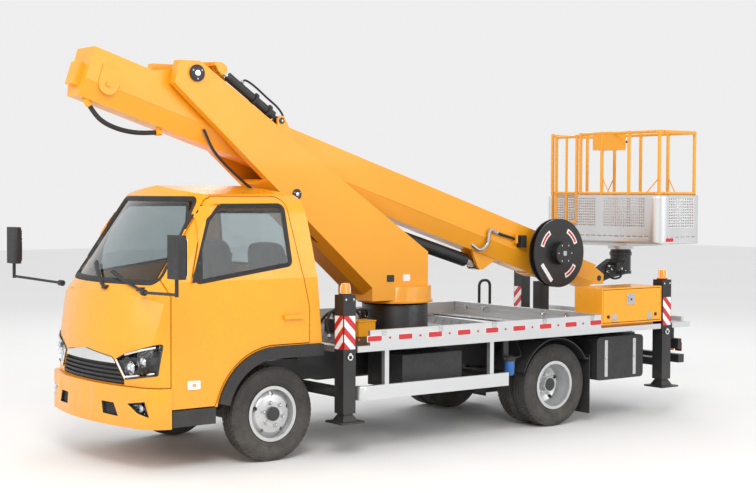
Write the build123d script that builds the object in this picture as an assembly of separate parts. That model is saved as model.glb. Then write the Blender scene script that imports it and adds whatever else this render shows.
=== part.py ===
"""Truck-mounted cherry picker: a light cab-over truck with a slewing tower, a telescopic boom and a basket.

Millimetres. Stations are measured from the front axle: +X forward, +Y to the truck's left, +Z up
from the ground. Every piece is moved forward by AXLE_AHEAD when it is written, so that the part's
origin lies on the ground under the middle of its bounding box.
"""
from build123d import *
import math
import os

# Running gear
AXLE_AHEAD = 1908.68
WHEELBASE = 3015
TYRE_R = 375
TYRE_W = 185
RIM_R = 220
RIM_T = 12
LIP_H = 15
BEAD_IN = 26
FRONT_TYRE_Y = 759
REAR_TYRE_Y = (605, 820)
KINGPIN_Y = 585
SPINDLE_R = 30
RUNNING_GAP = 0.05
STEER_ARM = 170
STEER_ARM_Z = 300

# Chassis rails
RAIL_Y = (262, 325)
RAIL_Z = (545, 725)
RAIL_X = (-4640, 780)
SECTION_WALL = 9

# Cab
CAB_HALF = 870
CAB_NOSE = 1190
CAB_PLAN_R = 2056
CAB_WALL = 46
CAB_FLOOR = 480
BELT_Z = 1440
ROOF_Z = 2168
ROOF_EDGE = (738, 2085)
COWL = (1100, 1405)
HEADER = (600, 2120)
CAB_REAR = ((-450, 900), (-370, 1879), (-342, 2050))
CAB_CUT = 330
ROOF_ROUND = 190
DOOR_FRONT = 915
DOOR_REAR = -325
DOOR_GAP = 8
DOOR_FOOT = 488
DOOR_HEAD = 2078
DOOR_ROUND = 85
ARCH_TOE = 20
DOOR_ARCH_R = 548
BUMPER_Z = (345, 648)
ARCH_R = 440
ARCH_TOP = 815
FLARE_W = 92

# Deck
DECK_HALF = 1040
DECK_X = (-4700, -560)
DECK_TOP = 880
BOARD_TOP = 1003
BOARD_X = (-3470, -806)
TOOLBOX_X = (-4287, -3479)
TOOLBOX_Y = (684, 1040)
TOOLBOX_Z = (905, 1243)

# Outriggers
POST_W = 122
POST_X = (-600, -4362)
POST_Y = 979
POST_Z = (345, 1297)
LEG_W = 92
FOOT_Z = 268
FOOT_W = 230

# Slewing tower
SLEW_X = -1870
PEDESTAL_R = 300
TURN_Z = (1134, 1283)
TURN_R = 330
TURN_LIP = 22
ARM_Y = (172, 255)
ELBOW = (347, 3062)
ELBOW_PIN_R = 44

# Boom
BOOM_SLOPE = 17.57
BOOM_AXIS_DROP = 287
BOOM_W = 300
BOOM_H = 395
BOOM_WALL = 12
COLLAR_T = 9
SECTION_STEP = 22
BOOM_FRONT = 845
SECTION_ENDS = (4270, 4420, 4560, 5010)
LUFF_EYE = (-2842, 1445)
LUFF_BASE = (-620, 2100)
LUFF_BARREL_R = 62
LUFF_ROD_R = 42
LEVEL_LUG_BOOM = (99, 3100)
LEVEL_LUG_TOWER = (-467, 2711)
LEVEL_Y = 214

# Reel and basket
REEL_R = 330
REEL_X, REEL_Y, REEL_Z = -3618, 262, 1544
TIP_PIN = (-4440, 1262)
SWING_X = -4830
BASKET_X = (-5150, -4510)
BASKET_HALF = 803
BASKET_Z = (1624, 2105)
BASKET_RAIL_Z = 2745
BASKET_CORNER = 110
TUBE_R = 17

LEFT_RIGHT = (("left", 1), ("right", -1))

os.makedirs("parts", exist_ok=True)


def save(name, shape):
    export_step(Pos(AXLE_AHEAD, 0, 0) * shape, f"parts/{name}.step")


def block(x, y, z):
    """A box between the two limits given on each axis."""
    size = [abs(b - a) for a, b in (x, y, z)]
    middle = [(a + b) / 2 for a, b in (x, y, z)]
    return Pos(*middle) * Box(*size)


def side_plate(points, y):
    """An X-Z outline pushed across the truck between two Y values."""
    plane = Plane(origin=(0, max(y), 0), x_dir=(1, 0, 0), z_dir=(0, -1, 0))
    return extrude(plane * make_face(Polyline(*points, close=True)), abs(y[1] - y[0]))


def front_plate(points, x):
    """A Y-Z outline pushed along the truck between two X values."""
    plane = Plane(origin=(min(x), 0, 0), x_dir=(0, 1, 0), z_dir=(1, 0, 0))
    return extrude(plane * make_face(Polyline(*points, close=True)), abs(x[1] - x[0]))


def rod(start, end, radius):
    """A round bar between two points."""
    path = Vector(*end) - Vector(*start)
    ends = (Align.CENTER, Align.CENTER, Align.MIN)
    return Plane(origin=start, z_dir=path) * Cylinder(radius, path.length, align=ends)


def across(x, z, y, radius):
    """A round bar along Y, centred on an X-Z point."""
    return rod((x, min(y), z), (x, max(y), z), radius)


def bent_tube(points, bend, radius):
    """A round tube through the points, bent to one radius at each corner."""
    path = FilletPolyline(*points, radius=bend)
    section = Plane(origin=path @ 0, z_dir=path % 0) * Circle(radius)
    return sweep(section, path=path)


def beyond(end, before, length):
    """The point past a route's end, straight on from its last run."""
    run = (Vector(*end) - Vector(*before)).normalized()
    return Vector(*end) + run * length


def both(shape):
    """A piece and its mirror image on the other side of the truck."""
    return shape + mirror(shape, about=Plane.XZ)


def sided(shape, sign):
    return shape if sign > 0 else mirror(shape, about=Plane.XZ)


def turned(profile, y):
    """A wheel-like solid: a radius-offset outline turned about the Y axis through y."""
    plane = Plane(origin=(0, y, 0), x_dir=(0, 1, 0), z_dir=(1, 0, 0))
    return revolve(plane * make_face(profile), Axis.Y)


# Wheels

def tyre(y):
    """A tyre centred on y: flat tread, sloping shoulders, bulged walls, open over the rim."""
    half = TYRE_W / 2
    bead = RIM_R - LIP_H
    shoulder = half - 24
    wall = [(half - BEAD_IN, bead), (half, bead + 66), (half, TYRE_R - 52), (shoulder, TYRE_R)]
    outline = Polyline(*wall, *[(-across_y, radius) for across_y, radius in wall[::-1]], close=True)
    return turned(outline, y)


def rim_barrel(y):
    """The rolled rim: a barrel with a flared lip at each side, held inside the tyre's beads."""
    half = TYRE_W / 2 - 12
    seat = RIM_R - LIP_H
    bead = TYRE_W / 2 - BEAD_IN
    lips = [(half, seat - RIM_T), (half, RIM_R), (bead, seat)]
    outline = Polyline(*lips, *[(-across_y, radius) for across_y, radius in lips[::-1]], close=True)
    return turned(outline, y)


def hand_holes(y, reach, radius, hole, count):
    """Round holes through the wheel disc, spread on a circle."""
    holes = [across(radius * math.sin(a), radius * math.cos(a), (y - reach, y + reach), hole)
             for a in (2 * math.pi * i / count for i in range(count))]
    return holes


def front_rim():
    """Front rim: disc bulged outwards, with a hub cap and hand holes."""
    y = FRONT_TYRE_Y
    seat = RIM_R - LIP_H - RIM_T
    disc = Polyline((20, seat + 2), (62, 150), (74, 95), (74, 60), (-80, 60), (-80, 78), (56, 78), (48, 140),
                    (8, seat + 2), close=True)
    rim = rim_barrel(y) + turned(disc, y)
    rim += across(0, 0, (y - 80, y + 74), 64)
    rim += across(0, 0, (y + 70, y + 96), 44)
    for hole in hand_holes(y, 90, 158, 17, 5):
        rim -= hole
    return rim - across(0, 0, (y - 120, y + 50), SPINDLE_R + RUNNING_GAP)


def rear_rim():
    """Twin rear rims: dished discs bolted back to back, with the hub standing out through the outer one."""
    inner, outer = REAR_TYRE_Y
    seat = RIM_R - LIP_H - RIM_T
    disc = Polyline((40, seat + 2), (-70, 165), (-92, 120), (-92, 60), (-107, 60), (-107, 126), (-84, 172),
                    (28, seat + 2), close=True)
    outer_disc = turned(disc, outer)
    for hole in hand_holes(outer, 100, 152, 19, 5):
        outer_disc -= hole
    middle = (inner + outer) / 2
    inner_disc = across(0, 0, (middle - 60, middle - 46), seat + 2)
    rim = rim_barrel(inner) + rim_barrel(outer) + outer_disc + inner_disc
    rim += across(0, 0, (middle - 70, middle + 70), 96)
    rim += across(0, 0, (middle, outer + 20), 66)
    return rim - across(0, 0, (inner - 150, outer - 30), SPINDLE_R + RUNNING_GAP)


for side, sign in LEFT_RIGHT:
    place = Pos(0, 0, TYRE_R)
    save(f"tyre_front_{side}", sided(place * tyre(FRONT_TYRE_Y), sign))
    save(f"rim_front_{side}", sided(place * front_rim(), sign))
    place = Pos(-WHEELBASE, 0, TYRE_R)
    save(f"tyres_rear_{side}", sided(place * (tyre(REAR_TYRE_Y[0]) + tyre(REAR_TYRE_Y[1])), sign))
    save(f"rims_rear_{side}", sided(place * rear_rim(), sign))

# Axles, steering and springs
KNUCKLE_Z = (TYRE_R - 62, TYRE_R + 62)
EYE_H = 46


def knuckle():
    """Steering knuckle: a kingpin fork with its spindle and a rearward steering arm."""
    fork = block((-45, 45), (KINGPIN_Y - 42, KINGPIN_Y + 62), KNUCKLE_Z)
    fork -= block((-60, 60), (KINGPIN_Y - 60, KINGPIN_Y + 46), (TYRE_R - EYE_H - 1, TYRE_R + EYE_H + 1))
    fork += rod((0, KINGPIN_Y, KNUCKLE_Z[0]), (0, KINGPIN_Y, KNUCKLE_Z[1]), 20)
    fork += across(0, TYRE_R, (KINGPIN_Y + 50, FRONT_TYRE_Y + 40), SPINDLE_R)
    fork += block((-STEER_ARM, 0), (KINGPIN_Y - 22, KINGPIN_Y + 22), (STEER_ARM_Z, KNUCKLE_Z[0] + 14))
    return fork + rod((-STEER_ARM, KINGPIN_Y, STEER_ARM_Z - 40), (-STEER_ARM, KINGPIN_Y, STEER_ARM_Z + 8), 13)


for side, sign in LEFT_RIGHT:
    save(f"knuckle_{side}", sided(knuckle(), sign))

tie_z = (STEER_ARM_Z - 34, STEER_ARM_Z - 4)
tie_mid = sum(tie_z) / 2
tie_rod = rod((-STEER_ARM, -KINGPIN_Y + 30, tie_mid), (-STEER_ARM, KINGPIN_Y - 20, tie_mid), 14)
tie_rod += rod((-STEER_ARM, KINGPIN_Y, tie_z[0]), (-STEER_ARM, KINGPIN_Y, tie_z[1]), 28)
tie_rod -= rod((-STEER_ARM, KINGPIN_Y, tie_z[0] - 5), (-STEER_ARM, KINGPIN_Y, tie_z[1] + 5), 13 + RUNNING_GAP)
save("tie_rod", tie_rod)

beam_drop = 70
beam_z = (TYRE_R - beam_drop - EYE_H, TYRE_R - beam_drop + EYE_H)
front_axle = block((-38, 38), (-KINGPIN_Y + 110, KINGPIN_Y - 110), beam_z)
front_axle += both(front_plate([(KINGPIN_Y - 200, beam_z[0]), (KINGPIN_Y - 66, TYRE_R - EYE_H),
                                (KINGPIN_Y + 30, TYRE_R - EYE_H), (KINGPIN_Y + 30, TYRE_R + EYE_H),
                                (KINGPIN_Y - 66, TYRE_R + EYE_H), (KINGPIN_Y - 160, beam_z[1])], (-34, 34)))
for sign in (1, -1):
    front_axle -= rod((0, sign * KINGPIN_Y, 200), (0, sign * KINGPIN_Y, 500), 20 + RUNNING_GAP)
save("front_axle", front_axle)

axle_end = REAR_TYRE_Y[0] - 118
rear_axle = across(-WHEELBASE, TYRE_R, (-axle_end, axle_end), 62)
rear_axle += rod((-WHEELBASE - 100, 0, TYRE_R), (-WHEELBASE + 110, 0, TYRE_R), 165)
rear_axle += rod((-WHEELBASE - 140, 0, TYRE_R), (-WHEELBASE + 160, 0, TYRE_R), 95)
rear_axle += across(-WHEELBASE, TYRE_R, (-REAR_TYRE_Y[1] + 40, REAR_TYRE_Y[1] - 40), SPINDLE_R)
save("rear_axle", rear_axle)


LEAF_T = 15
LEAF_RISE = 40


def leaf_spring(x, y, length, seat):
    """A leaf pack, arched by three leaves of falling length, seated on the axle and hung from the rail."""
    spring = None
    for leaf in range(3):
        reach = length / 2 * (1 - 0.26 * leaf)
        low = seat + LEAF_T * (2 - leaf)
        rise = LEAF_RISE * (reach / (length / 2)) ** 2
        high = low + LEAF_T
        arch = make_face(ThreePointArc((x - reach, low + rise), (x, low), (x + reach, low + rise))
                         + Line((x + reach, low + rise), (x + reach, high + rise))
                         + ThreePointArc((x + reach, high + rise), (x, high), (x - reach, high + rise))
                         + Line((x - reach, high + rise), (x - reach, low + rise)))
        plane = Plane(origin=(0, y + 32, 0), x_dir=(1, 0, 0), z_dir=(0, -1, 0))
        strip = extrude(plane * arch, 64)
        spring = strip if spring is None else spring + strip
    for end in (-1, 1):
        tip = x + end * length / 2
        spring += block((tip - 18, tip + 18), (y - 30, y + 30), (seat + 2 * LEAF_T + LEAF_RISE, RAIL_Z[0]))
    return spring


SPRING_Y = 293
save("leaf_springs", both(leaf_spring(0, SPRING_Y, 1060, TYRE_R - beam_drop + 47))
     + both(leaf_spring(-WHEELBASE, SPRING_Y, 1180, TYRE_R + 63)))

# Chassis frame: two channel rails, cross members, tower subframe and rear bar

def channel(x):
    rail = block(x, RAIL_Y, RAIL_Z)
    low, high = RAIL_Z
    return rail - block((x[0] - 5, x[1] + 5), (RAIL_Y[0] - 5, RAIL_Y[1] - SECTION_WALL),
                        (low + SECTION_WALL, high - SECTION_WALL))


frame = both(channel(RAIL_X))
web = RAIL_Y[1] - SECTION_WALL / 2
for station in (690, -1700, -2250, -2700, -3300, -3900, -4500):
    frame += block((station - 45, station + 45), (-web, web), (RAIL_Z[0] + 60, RAIL_Z[1] - 10))
subframe_x = (DECK_X[0] + 40, DECK_X[1] - 20)
frame += both(block(subframe_x, RAIL_Y, (RAIL_Z[1] - 1, 832)))
frame += block((-4745, -4665), (-930, 930), (470, 550))
frame += both(block((-4700, -4620), RAIL_Y, (500, RAIL_Z[1])))
save("chassis_frame", frame)

engine = block((-420, 560), (-240, 240), (480, 720))
engine += block((-250, 330), (-215, 215), (719, 890))
engine += block((-1000, -419), (-150, 150), (560, 700))
engine += both(block((100, 180), (239, RAIL_Y[1] - SECTION_WALL), (620, 660)))
shaft = rod((-1000, 0, 600), (-WHEELBASE + 168, 0, 420), 38)
save("engine", engine + shaft)

# Cab


def pushed_y(face, y):
    plane = Plane(origin=(0, max(y), 0), x_dir=(1, 0, 0), z_dir=(0, -1, 0))
    return extrude(plane * face, abs(y[1] - y[0]))


def pushed_x(face, x):
    plane = Plane(origin=(min(x), 0, 0), x_dir=(0, 1, 0), z_dir=(1, 0, 0))
    return extrude(plane * face, abs(x[1] - x[0]))


def tilted_nose(low, high, inset):
    """A large round, lying back along the line from low to high, that bounds the cab's front."""
    run = Vector(high[0] - low[0], 0, high[1] - low[1]).normalized()
    back = Vector(-run.Z, 0, run.X)
    radius = CAB_PLAN_R - inset
    centre = Vector(low[0], 0, low[1]) + back * CAB_PLAN_R
    return Plane(origin=centre, z_dir=run, x_dir=back) * Cylinder(radius, 6000)


def cab_form(inset):
    """The cab's outer form, drawn in by an inset all round except below."""
    half = CAB_HALF - inset
    roof = ROOF_Z - inset
    eaves = (ROOF_EDGE[0] - inset, ROOF_EDGE[1] - inset)
    outline = make_face(Polyline((-half, CAB_CUT), (half, CAB_CUT), (half, BELT_Z), eaves, (0, roof),
                                 (-eaves[0], eaves[1]), (-half, BELT_Z), close=True))
    edges = [corner for corner in outline.vertices() if abs(corner.Y - eaves[1]) < 1]
    front = pushed_x(fillet(edges, ROOF_ROUND - inset), (-600, 1400))
    rear = [(x + inset, z) for x, z in CAB_REAR]
    side = side_plate([(rear[0][0], CAB_CUT), (1300, CAB_CUT), (1300, 1500), (420, 2400), (-250, 2400)]
                      + rear[::-1], (-1000, 1000))
    tail = (-700, half)
    cheek = (DOOR_FRONT - 20, half)
    bulge = (1030 - inset * 0.7, 790 - inset * 0.7)
    corner = (1092 - inset, 650 - inset * 0.5)
    side_line = Line(tail, cheek) + ThreePointArc(cheek, bulge, corner)
    nose = ThreePointArc(corner, (CAB_NOSE - inset, 0), (corner[0], -corner[1]))
    plan = make_face(side_line + nose + mirror(side_line, about=Plane.XZ) + Line(tail, (tail[0], -half)))
    form = front & side & extrude(Pos(0, 0, 300) * plan, 2100)
    form &= tilted_nose((CAB_NOSE, 1000), (1130, 1400), inset)
    return form & tilted_nose(COWL, HEADER, inset)


def layer(outer, inner):
    """The skin of the cab between two insets."""
    return cab_form(outer) - cab_form(inner)


def corners_rounded(points, radius):
    """A closed outline with its corners rounded."""
    face = make_face(Polyline(*points, close=True))
    return fillet(face.vertices(), radius)


def on_arch(angle):
    """A point of the door's wheel cut-out, at an angle from straight ahead."""
    turn = math.radians(angle)
    return DOOR_ARCH_R * math.cos(turn), TYRE_R + DOOR_ARCH_R * math.sin(turn)


def door_outline():
    """The door's edge: upright front, leaning pillars, rounded top corners and a cut-out over the wheel."""
    edge = Polyline(on_arch(ARCH_TOE), (DOOR_ARCH_R, DOOR_FOOT), (DOOR_FRONT, DOOR_FOOT), (DOOR_FRONT, 1452),
                    (492, DOOR_HEAD), (-168, DOOR_HEAD), (DOOR_REAR + 70, 1500), (DOOR_REAR, 1200),
                    (DOOR_REAR, on_arch(90)[1]), on_arch(90))
    edge += ThreePointArc(on_arch(90), on_arch(55), on_arch(ARCH_TOE))
    face = make_face(edge)
    top = [corner for corner in face.vertices() if abs(corner.Y - DOOR_HEAD) < 1]
    return fillet(top, DOOR_ROUND)


WINDOW = corners_rounded([(757, 1424), (572, 2015), (-148, 2015), (-168, 1545)], 42)
SCREEN = corners_rounded([(-700, 1428), (700, 1428), (578, 2062), (-578, 2062)], 60)
REAR_LIGHT = corners_rounded([(-560, 1500), (560, 1500), (560, 1960), (-560, 1960)], 60)
DOOR = door_outline()


def grown(face, amount):
    """A closed outline moved outwards, or inwards where amount is negative."""
    return offset(face, amount, kind=Kind.INTERSECTION).faces()[0]


SIDE_BAND = (640, 1000)
SCREEN_BAND = (520, 1300)
REAR_BAND = (-600, -250)
NOSE_BAND = (900, 1300)
outer_form = cab_form(0)
inner_form = cab_form(CAB_WALL)
CABIN_LINE = [(1300, 775), (490, 775), (400, 965), (-600, 965), (-600, 2300), (1300, 2300)]
cavity = inner_form & side_plate(CABIN_LINE, (-900, 900))
cab_body = outer_form - cavity
cab_body -= block((-700, 1300), (-1000, 1000), (300, CAB_FLOOR))
cab_body -= block((-700, 0), (-1000, 1000), (300, ARCH_TOP + FLARE_W + 3))
cab_body -= across(0, TYRE_R, (-1000, 1000), ARCH_R + FLARE_W + 1)
cab_body -= block((-700, 350), (-300, 300), (300, 905))
cab_body -= block((-700, 840), (-345, 345), (300, 735))
cab_body -= both(block((560, 880), (344, 800), (300, 735)))
cab_body -= block((DOOR_FRONT + DOOR_GAP - 1, 1300), (-1000, 1000), (300, BUMPER_Z[1] + 5))

door_hole = both(pushed_y(grown(DOOR, DOOR_GAP), SIDE_BAND))
screen_hole = pushed_x(SCREEN, SCREEN_BAND)
rear_hole = pushed_x(REAR_LIGHT, REAR_BAND)
cab_shell = cab_body - door_hole - screen_hole - rear_hole

GRILLE = make_face(Polyline((-520, 656), (520, 656), (520, 692), (406, 842), (378, 862), (0, 905),
                            (-378, 862), (-406, 842), (-520, 692), close=True))
LAMP = corners_rounded([(420, 846), (520, 893), (842, 985), (818, 742), (535, 696)], 14)
BAR = make_face(Polyline((-424, 812), (424, 812), (402, 842), (376, 858), (0, 901), (-376, 858), (-402, 842),
                         close=True))
front_skin = block(NOSE_BAND, (-900, 900), (600, 1050))
grille_hole = pushed_x(GRILLE, NOSE_BAND)
lamp_hole = both(pushed_x(LAMP, NOSE_BAND))
cab_shell = cab_shell - (layer(-5, 34) & front_skin & (grille_hole + lamp_hole))
save("cab_shell", cab_shell)

glass_layer = layer(12, 18)
screen = (glass_layer & pushed_x(grown(SCREEN, -1), SCREEN_BAND)) - door_hole
rear_light = glass_layer & pushed_x(grown(REAR_LIGHT, -1), REAR_BAND)
save("cab_glass", screen + rear_light)

door_solid = outer_form - inner_form
window_hole = pushed_y(WINDOW, SIDE_BAND)
door = (door_solid & pushed_y(DOOR, SIDE_BAND)) - window_hole
HANDLE = (-165, 1134)
handle_z = (HANDLE[1] - 16, HANDLE[1] + 16)
door += block((HANDLE[0] - 90, HANDLE[0] + 90), (CAB_HALF - 8, CAB_HALF + 26), handle_z)
door_glass = glass_layer & pushed_y(grown(WINDOW, -1), SIDE_BAND)
for side, sign in LEFT_RIGHT:
    save(f"door_{side}", sided(door, sign))
    save(f"door_glass_{side}", sided(door_glass, sign))

# Grille: a bright bar over dark slats in a backing plate
SLAT_COUNT = 4
SLAT_FOOT = 672
SLAT_PITCH = 32
grille_skin = layer(-2, 27) & front_skin & pushed_x(grown(GRILLE, -1), NOSE_BAND)
grille = layer(26, 34) & front_skin & pushed_x(grown(GRILLE, -1), NOSE_BAND)
for step in range(SLAT_COUNT):
    level = SLAT_FOOT + SLAT_PITCH * step
    grille += grille_skin & block(NOSE_BAND, (-900, 900), (level, level + SLAT_PITCH / 2))
grille += layer(-4, 27) & pushed_x(grown(BAR, -1), NOSE_BAND)
save("grille", grille)

headlamps = layer(-3, 33) & front_skin & pushed_x(grown(LAMP, -1), NOSE_BAND)
headlamps = headlamps & block((DOOR_FRONT + DOOR_GAP, NOSE_BAND[1]), (0, 900), (600, 1050))

# Bumper: a wrapped band with vents, lamp pockets and a flat plate area


BUMPER_END = DOOR_FRONT + DOOR_GAP


def bumper_form(grow, z):
    half = CAB_HALF + grow * 0.4
    plan = make_face(ThreePointArc((BUMPER_END, -half), (1035 + grow, -800 - grow * 0.5), (1105 + grow, -660))
                     + ThreePointArc((1105 + grow, -660), (CAB_NOSE + grow, 0), (1105 + grow, 660))
                     + ThreePointArc((1105 + grow, 660), (1035 + grow, 800 + grow * 0.5), (BUMPER_END, half))
                     + Line((BUMPER_END, half), (BUMPER_END, -half)))
    return extrude(Pos(0, 0, z[0]) * plan, z[1] - z[0])


bumper = bumper_form(30, BUMPER_Z) - bumper_form(-60, (BUMPER_Z[0] - 10, BUMPER_Z[1] + 10))
vent = front_plate([(292, 520), (446, 520), (500, 421), (310, 427)], (1000, 1300))
fog = front_plate([(604, 526), (778, 553), (806, 436), (714, 466)], (900, 1300))
pocket = bumper_form(40, BUMPER_Z) - bumper_form(0, BUMPER_Z)
bumper -= both(vent + fog) & pocket
plate_holes = [(-110, 535), (110, 535), (-110, 417), (110, 417)]
PLATE_HOLE_R = 4
for y, z in plate_holes:
    bumper -= rod((1100, y, z), (1300, y, z), PLATE_HOLE_R)
save("bumper", bumper)
fog_lamp = (bumper_form(14, BUMPER_Z) - bumper_form(1, BUMPER_Z)) & front_plate(
    [(616, 516), (770, 541), (794, 446), (718, 472)], (900, 1300))
fog_lamp -= bumper
save("front_lamps", both(headlamps + fog_lamp))

# Wipers, mirrors, arch flares and sills
wipers = None
for foot, tip in (((191, 1375), (-210, 1560)), ((590, 1378), (160, 1500))):
    surface = layer(-22, -8)
    band = front_plate([(foot[0] - 14, foot[1]), (foot[0] + 14, foot[1]), (tip[0] + 9, tip[1] + 9),
                         (tip[0] - 9, tip[1] - 9)], (600, 1400))
    arm = surface & band
    wipers = arm if wipers is None else wipers + arm
for foot in (191, 590):
    wipers += layer(-24, 0) & front_plate([(foot - 20, 1368), (foot + 20, 1368), (foot + 20, 1394),
                                             (foot - 20, 1394)], (900, 1400))
save("wipers", wipers)

MIRROR_X = 1176
MIRROR_Y = 1405
MIRROR_Z = (1500, 1810)
mirror_foot = (1060, 690, 1362)
mirror_elbow = (MIRROR_X, MIRROR_Y, 1390)
mirror_arm = rod(mirror_foot, mirror_elbow, 11)
mirror_arm += rod(mirror_foot, beyond(mirror_foot, mirror_elbow, -45), 24)
mirror_arm += rod((MIRROR_X, MIRROR_Y, 1374), (MIRROR_X, MIRROR_Y, MIRROR_Z[0] + 40), 14)
mirror_head = fillet(block((MIRROR_X - 32, MIRROR_X + 32), (MIRROR_Y - 96, MIRROR_Y + 96), MIRROR_Z)
                     .edges().filter_by(Axis.Z), 24)
save("mirrors", both(mirror_arm + mirror_head))



def arch_band(inner, outer, start, end):
    """A flat ring about a wheel's centre, between two radii and two angles."""
    ends = [[(radius * math.cos(turn), TYRE_R + radius * math.sin(turn)) for radius in (inner, outer)]
            for turn in (math.radians(start), math.radians(end))]
    arcs = [CenterArc((0, TYRE_R), radius, start, end - start) for radius in (inner, outer)]
    return make_face(arcs[0] + arcs[1] + Line(*ends[0]) + Line(*ends[1]))


FLARE_Y = (CAB_HALF - 44, CAB_HALF + 30)
flare = pushed_y(arch_band(ARCH_R, ARCH_R + FLARE_W, 14, 90), FLARE_Y)
flare += block((-450, 0), FLARE_Y, (ARCH_TOP, ARCH_TOP + FLARE_W))
sill = block((540, DOOR_FRONT - 4), (CAB_HALF - 120, CAB_HALF + 6), (354, 478))
arch_flares = both(flare + sill)

# Cab interior: dash, steering wheel and seats
dash = side_plate([(1040, 900), (780, 960), (700, 1180), (760, 1310), (1000, 1330)], (-760, 760))
dash = dash & cab_form(CAB_WALL + 6)
seat_part = block((-230, 300), (150, 690), (970, 1120))
seat_part += side_plate([(-250, 1120), (-130, 1120), (-230, 1720), (-320, 1720)], (170, 670))
seats = both(seat_part)
save("seats", seats)
hub = (560, 420, 1290)
column = Vector(0.55, 0, -0.83).normalized()
wheel_plane = Plane(origin=hub, z_dir=column)
rim_section = Plane.XZ * (Pos(190, 0) * RegularPolygon(14, 6))
steering_wheel = wheel_plane * revolve(rim_section, Axis.Z)
steering_wheel += wheel_plane * Cylinder(45, 40)
for turn in (90, 210, 330):
    steering_wheel += wheel_plane * (Rot(0, 0, turn) * (Pos(100, 0, 0) * Box(190, 30, 14)))
steering_wheel += rod(hub, Vector(*hub) + column * 420, 24)
save("dashboard", dash + steering_wheel)

# Deck, boards, toolbox and deck fittings
deck = block(DECK_X, (-DECK_HALF, DECK_HALF), (832, DECK_TOP))
deck -= both(block((POST_X[0] - 80, POST_X[0] + 80), (POST_Y - 75, DECK_HALF + 10), (800, 900)))
deck -= both(block((POST_X[1] - 80, POST_X[1] + 80), (POST_Y - 75, DECK_HALF + 10), (800, 900)))
board = block(BOARD_X, (DECK_HALF - 28, DECK_HALF), (DECK_TOP - 1, BOARD_TOP))
board += block((BOARD_X[0], BOARD_X[1]), (DECK_HALF - 34, DECK_HALF - 27), (DECK_TOP - 1, DECK_TOP + 30))
deck += both(board)
deck += block((DECK_X[0] - 38, DECK_X[0] + 1), (-930, 930), (837, 919))
save("deck", deck)

box_wall = 14
toolbox = block(TOOLBOX_X, TOOLBOX_Y, TOOLBOX_Z)
toolbox -= block((TOOLBOX_X[0] + box_wall, TOOLBOX_X[1] - box_wall),
                 (TOOLBOX_Y[0] + box_wall, TOOLBOX_Y[1] + 5),
                 (TOOLBOX_Z[0] + box_wall, TOOLBOX_Z[1] - box_wall))
toolbox += block((TOOLBOX_X[0] + 60, TOOLBOX_X[1] - 60), (TOOLBOX_Y[0] + 20, TOOLBOX_Y[1] - 60),
                 (DECK_TOP, TOOLBOX_Z[0] + 1))
save("toolboxes", toolbox)
lid = block((TOOLBOX_X[0] + box_wall + 4, TOOLBOX_X[1] - box_wall - 4), (TOOLBOX_Y[1] - 22, TOOLBOX_Y[1]),
            (TOOLBOX_Z[0] + box_wall + 5, TOOLBOX_Z[1] - box_wall - 4))
latch_x = sum(TOOLBOX_X) / 2 + 30
lid += block((latch_x - 55, latch_x + 55), (TOOLBOX_Y[1] - 1, TOOLBOX_Y[1] + 8), (1080, 1190))
save("toolbox_lid_left", lid)

HOOP_X = (-3903, -3755)
HOOP_Y = -DECK_HALF + 60
HOOP_TOP = 1209
hoop = bent_tube([(HOOP_X[0], HOOP_Y, DECK_TOP), (HOOP_X[0], HOOP_Y, HOOP_TOP), (HOOP_X[1], HOOP_Y, HOOP_TOP),
                  (HOOP_X[1], HOOP_Y, DECK_TOP)], 60, 15)
boom_rest = block((-3757, -3644), (-56, 56), (DECK_TOP, 1254))
save("deck_fittings", hoop + boom_rest)

# Outriggers
POST_WALL = 12
POST_CAP = 15
posts = None
for station in POST_X:
    inner = POST_W / 2 - POST_WALL
    half = POST_W / 2
    post = block((station - half, station + half), (POST_Y - half, POST_Y + half), POST_Z)
    post -= block((station - inner, station + inner), (POST_Y - inner, POST_Y + inner),
                  (POST_Z[0] - 5, POST_Z[1] - POST_CAP))
    beam = block((station - 50, station + 50), (-POST_Y + half - 1, POST_Y - half + 1), (470, 542))
    post = both(post) + beam
    post += both(block((station - 40, station + 40), (270, 318), (541, RAIL_Z[0])))
    posts = post if posts is None else posts + post
save("outrigger_posts", posts)


def outrigger_leg(station):
    """A jack leg inside its post, on a square foot with a tapered neck."""
    half = LEG_W / 2
    leg = block((station - half, station + half), (POST_Y - half, POST_Y + half),
                (FOOT_Z + 60, POST_Z[1] - 110))
    neck = loft([Pos(station, POST_Y, FOOT_Z + 15) * Rectangle(FOOT_W - 80, FOOT_W - 80),
                 Pos(station, POST_Y, FOOT_Z + 62) * Rectangle(LEG_W + 8, LEG_W + 8)])
    foot = Pos(station, POST_Y, FOOT_Z + 8) * Box(FOOT_W, FOOT_W, 16)
    return leg + neck + foot


for end, station in zip(("front", "rear"), POST_X):
    for side, sign in LEFT_RIGHT:
        save(f"jack_{end}_{side}", sided(outrigger_leg(station), sign))

beacons = None
for station in POST_X:
    lamp = rod((station, POST_Y, POST_Z[1]), (station, POST_Y, POST_Z[1] + 16), 48)
    lamp += rod((station, POST_Y, POST_Z[1] + 15), (station, POST_Y, POST_Z[1] + 92), 36)
    beacons = both(lamp) if beacons is None else beacons + both(lamp)

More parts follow.
